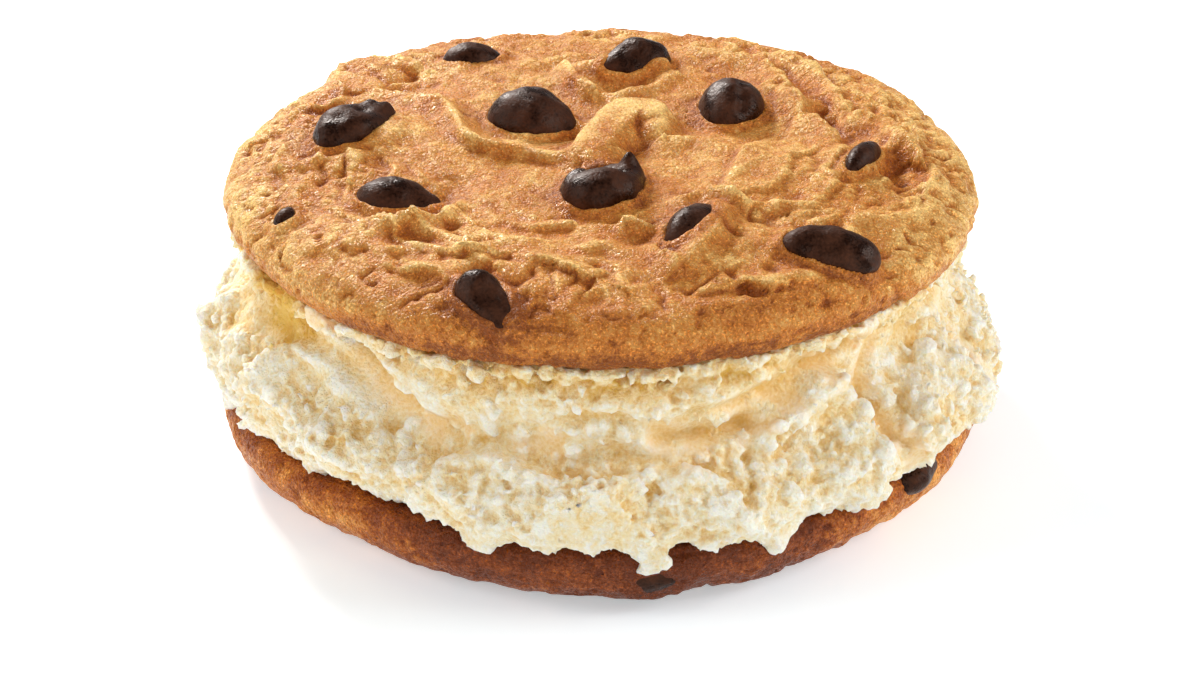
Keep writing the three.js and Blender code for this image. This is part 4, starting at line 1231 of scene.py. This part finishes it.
def turned_at_random(count):
    """Rotation matrices that turn things every way."""
    q = rng.normal(size=(count, 4))
    w, x, y, z = (q / np.linalg.norm(q, axis=1)[:, None]).T
    rows = [
        [1 - 2 * (y * y + z * z), 2 * (x * y - z * w), 2 * (x * z + y * w)],
        [2 * (x * y + z * w), 1 - 2 * (x * x + z * z), 2 * (y * z - x * w)],
        [2 * (x * z - y * w), 2 * (y * z + x * w), 1 - 2 * (x * x + y * y)],
    ]
    return np.moveaxis(np.array(rows), 2, 0)


def scattered_lumps(name, centres, radii, stretch, subdivisions):
    """One mesh of many small balls, each squashed and turned its own way."""
    corners, faces = ball(subdivisions)
    squash = 1 + stretch * rng.uniform(-1, 1, (len(centres), 1, 3))
    burr = 1 + 0.8 * stretch * rng.uniform(-1, 1, (len(centres), len(corners), 1))
    shaped = corners[None] * burr * squash * radii[:, None, None]
    shaped = np.einsum("nij,nkj->nki", turned_at_random(len(centres)), shaped) + centres[:, None]
    index = (faces[None] + len(corners) * np.arange(len(centres))[:, None, None]).reshape(-1, 3)
    mesh = bpy.data.meshes.new(name)
    mesh.from_pydata((shaped.reshape(-1, 3) * MM).tolist(), [], index.tolist())
    print(name, len(centres), "balls")
    return mesh


# %% Lumps and crumbs
LUMPS = 3600
CRUMBS = 24000
JITTER = 0.25  # how far each strays from its point of the wall
CRUMB_START = 0.25  # crumbs sit this much further out, on the lumps

points, normals = points_of(slab), normals_of(slab)
_, _, reach, z = on_wall(points)
torn = 1 - drag_marks(points)
clumps = smooth(-0.35, 0.35, soft_noise(points, 3.2, 401))
standing = smooth(0.8, -0.8, hollow_depth(slab, 60))
lumpy = torn**2 * smooth(40, 42.5, reach) * (0.35 + 0.65 * smooth(25, 12, z)) * (0.25 + 0.75 * clumps)
lumpy = lumpy * (0.12 + 0.88 * smooth(9.5, 12.5, z))
by_height = 0.2 + 0.8 * smooth(22, 13, z) + 1.6 * smooth(12.5, 10.5, z)
crumbly = torn**2 * smooth(41, 43, reach) * (0.15 + standing) * by_height


def pressed_in(name, count, chance, radii, subdivisions, stretch, deepest, highest):
    """Lumps set at random on the wall, sunk or standing out by shares of their radius."""
    picked = rng.choice(len(points), count, p=chance / chance.sum())
    push = radii * rng.uniform(deepest, highest, count)
    centres = points[picked] + normals[picked] * push[:, None] + rng.normal(0, JITTER, (count, 3))
    return scattered_lumps(name, centres, radii, stretch, subdivisions)


lump_radii = 0.4 + 1.0 * rng.uniform(0, 1, LUMPS) ** 2.4
crumb_radii = 0.22 + 0.24 * rng.uniform(0, 1, CRUMBS) ** 2
lumps = pressed_in("lumps", LUMPS, lumpy, lump_radii, 2, 0.3, -0.9, -0.2)
points = points + normals * CRUMB_START
crumbs = pressed_in("crumbs", CRUMBS, crumbly, crumb_radii, 1, 0.7, -0.5, 0.6)

# %% Cream squeezed out under the upper cookie's rim
SQUEEZED = 1700  # lumps between the wall's edge and the dough above it

turn = rng.uniform(-math.pi, math.pi, SQUEEZED)
reach = rng.uniform(41.0, 43.9, SQUEEZED)
spots = np.stack([reach * np.sin(turn), reach * np.cos(turn), -rng.uniform(0.2, 1.2, SQUEEZED)], 1)
spots = tilted(spots, TOP_TILT, TOP_BASE)
squeezed = scattered_lumps("squeezed", spots, rng.uniform(0.3, 0.8, SQUEEZED), 0.6, 2)

# %% One skin round the heap
VOXEL = 0.26  # the remeshed skin's grid, a little finer than the smallest crumbs


def joined(name, meshes):
    bm = bmesh.new()
    for mesh in meshes:
        bm.from_mesh(mesh)
        bpy.data.meshes.remove(mesh)
    return as_mesh(bm, name)


heap = joined("heap", [slab, lumps, crumbs, squeezed])
skin = after_modifier(heap, "REMESH", mode="VOXEL", voxel_size=VOXEL * MM, adaptivity=0.0)
print("remeshed skin", len(skin.polygons), "faces")

# %% [markdown]
# The cookies hide the middle of the slab, where fine faces would be wasted. They are deleted,
# and each opening is closed by a fan of plain ones.

# %% Closing the hidden middle
HIDDEN_REACH = 40

bm = bmesh.new()
bm.from_mesh(skin)
bpy.data.meshes.remove(skin)
hidden = [f for f in bm.faces if f.calc_center_median().xy.length < HIDDEN_REACH * MM]
bmesh.ops.delete(bm, geom=hidden, context="FACES")
filled = bmesh.ops.holes_fill(bm, edges=[e for e in bm.edges if e.is_boundary], sides=0)
bmesh.ops.poke(bm, faces=filled["faces"])
bmesh.ops.recalc_face_normals(bm, faces=bm.faces)
skin = as_mesh(bm, "cream_skin")
print("closed skin", len(skin.polygons), "faces,", len(filled["faces"]), "closings")

# %% [markdown]
# ### Frost
#
# Freezing air snows up the narrow pits between the lumps and leaves the crests sharp, so only
# what lies low is smoothed. Three layers of fine noise then frost the torn cream, and less of
# it the channels. Last, each point gets the values that the material reads: the crevices, the
# shade under the upper cookie and one patch on the left are painted yellower, as painted shade,
# warm light reflected from the dough and a painted glow, and channels are marked dragged.

# %% Frosting the skin
PIT_FILLING = 0.6  # how far a narrow pit is filled
FILLING_ROUNDS = 10
FROST = [(0.14, 1.4, 410), (0.10, 0.7, 411), (0.09, 0.45, 412)]
CHANNEL_FROST = 0.35  # the share of the frost that the channels get

below = np.maximum(hollow_depth(skin, FILLING_ROUNDS), 0)
share = PIT_FILLING * smooth(0.0, 0.25, below)
points = points_of(skin)
move_points(skin, mix(points, averaged(skin, points, FILLING_ROUNDS), share[:, None]))
points, normals = points_of(skin), normals_of(skin)
# Averaging softens the edge of a channel and weakens its mark, so the mark is raised again.
dragged = np.clip(1.25 * averaged(skin, drag_marks(points), 2)[:, 0], 0, 1)
frost = layered(points, FROST) * mix(1, CHANNEL_FROST, dragged)
move_points(skin, points + normals * frost[:, None])
print("frost from", frost.min().round(2), "to", frost.max().round(2), "mm")

# %% Values for the material
# The yellow patch on the left is a painted glow of light through a deep crevice.
GLOW_SIDE = -56  # where the yellow patch lies, in degrees from the front

degrees, _, _, z = on_wall(points)
painted_glow = 1.2 * np.exp(-(((degrees - GLOW_SIDE) / 5) ** 2)) * smooth(21, 24, z)
# Painted shade and warm light reflected from the dough under the upper cookie, a little random tone, and the
# painted glow.
tone_and_painted_light = 0.7 * smooth(21, 30, z) + 0.15 * soft_noise(points, 7, 413) + painted_glow
# A few rounds of averaging find the crevices, and many find the broad hollows. The material
# paints both yellower, as painted shade.
depth = 0.8 * hollow_depth(skin, 14) + 0.75 * hollow_depth(skin, 140)
keep_value(skin, "hollow", np.clip(depth, -1, 1.5) + tone_and_painted_light)
keep_value(skin, "dragged", dragged)
kept_inside(skin, "ice_cream")

# %% [markdown]
# ### One light piece
#
# The skin has some six hundred thousand triangles now. A Decimate modifier merges them where
# the skin is nearly flat and keeps the crumbs sharp. A few crumbs hang free in the air or
# inside the heap. They are found by labels that spread along the edges, and only the largest
# piece is kept.

# %% Fewer faces
CREAM_TRIANGLES = 190000

triangles = sum(len(face.vertices) - 2 for face in skin.polygons)
skin = after_modifier(skin, "DECIMATE", ratio=CREAM_TRIANGLES / triangles)
print("of", triangles, "triangles", len(skin.polygons), "are kept")

# %% The largest piece of the skin
SLIVER = 0.01 * MM  # edges shorter than this are closed up


def in_largest_island(mesh):
    """Whether each point belongs to the largest of the pieces that a mesh falls into."""
    ends = np.empty(len(mesh.edges) * 2, np.int32)
    mesh.edges.foreach_get("vertices", ends)
    a, b = ends.reshape(-1, 2).T
    label = np.arange(len(mesh.vertices))
    while np.any(label[a] != label[b]):
        lower = np.minimum(label[a], label[b])
        np.minimum.at(label, label[a], lower)
        np.minimum.at(label, label[b], lower)
        label = label[label]
    return label == np.bincount(label).argmax()


bm = bmesh.new()
bm.from_mesh(skin)
loose = [vert for vert, kept in zip(bm.verts, in_largest_island(skin)) if not kept]
bmesh.ops.delete(bm, geom=loose, context="VERTS")
bmesh.ops.dissolve_degenerate(bm, dist=SLIVER, edges=bm.edges)
bmesh.ops.recalc_face_normals(bm, faces=bm.faces)
bpy.data.meshes.remove(skin)
skin = as_mesh(bm, "torn_cream")
print(len(loose), "loose points left out,", len(skin.polygons), "faces kept")
finished_piece("torn_vanilla_ice_cream", skin, vanilla, ["ice_cream"])

# %% [markdown]
# ## The table
#
# A plain white board, wide enough that its edge never shows. In a studio such a board is lit
# until it comes out pure white. Here the lamps are set for the sandwich, so the board glows a
# little itself. It only stages the sandwich and isn't a part of it.

# %% Table
TABLE_HALF_WIDTH = 1.6
HAZE = 30 * MM  # faint unevenness of the lacquer

bm = bmesh.new()
bmesh.ops.create_grid(bm, x_segments=4, y_segments=4, size=TABLE_HALF_WIDTH)
table_mesh = as_mesh(bm, "table")
table = bpy.data.objects.new("table", table_mesh)
bpy.context.scene.collection.objects.link(table)
board = new_material("white_lacquered_board")
place = add(board, "ShaderNodeTexCoord", out="Object")
haze = add(board, "ShaderNodeTexNoise", {"Vector": place, "Scale": 1 / HAZE})
shades = {0: haze, 6: linear("#FAFBFC"), 7: linear("#FCFCFD")}
lacquer = {
    "Base Color": add(board, "ShaderNodeMix", shades, out=2, data_type="RGBA"),
    "Roughness": 0.6,
    "Emission Color": (0.82, 0.96, 1, 1),
    "Emission Strength": 0.37,
}
surface(board, add(board, "ShaderNodeBsdfPrincipled", lacquer))
table_mesh.materials.append(board)
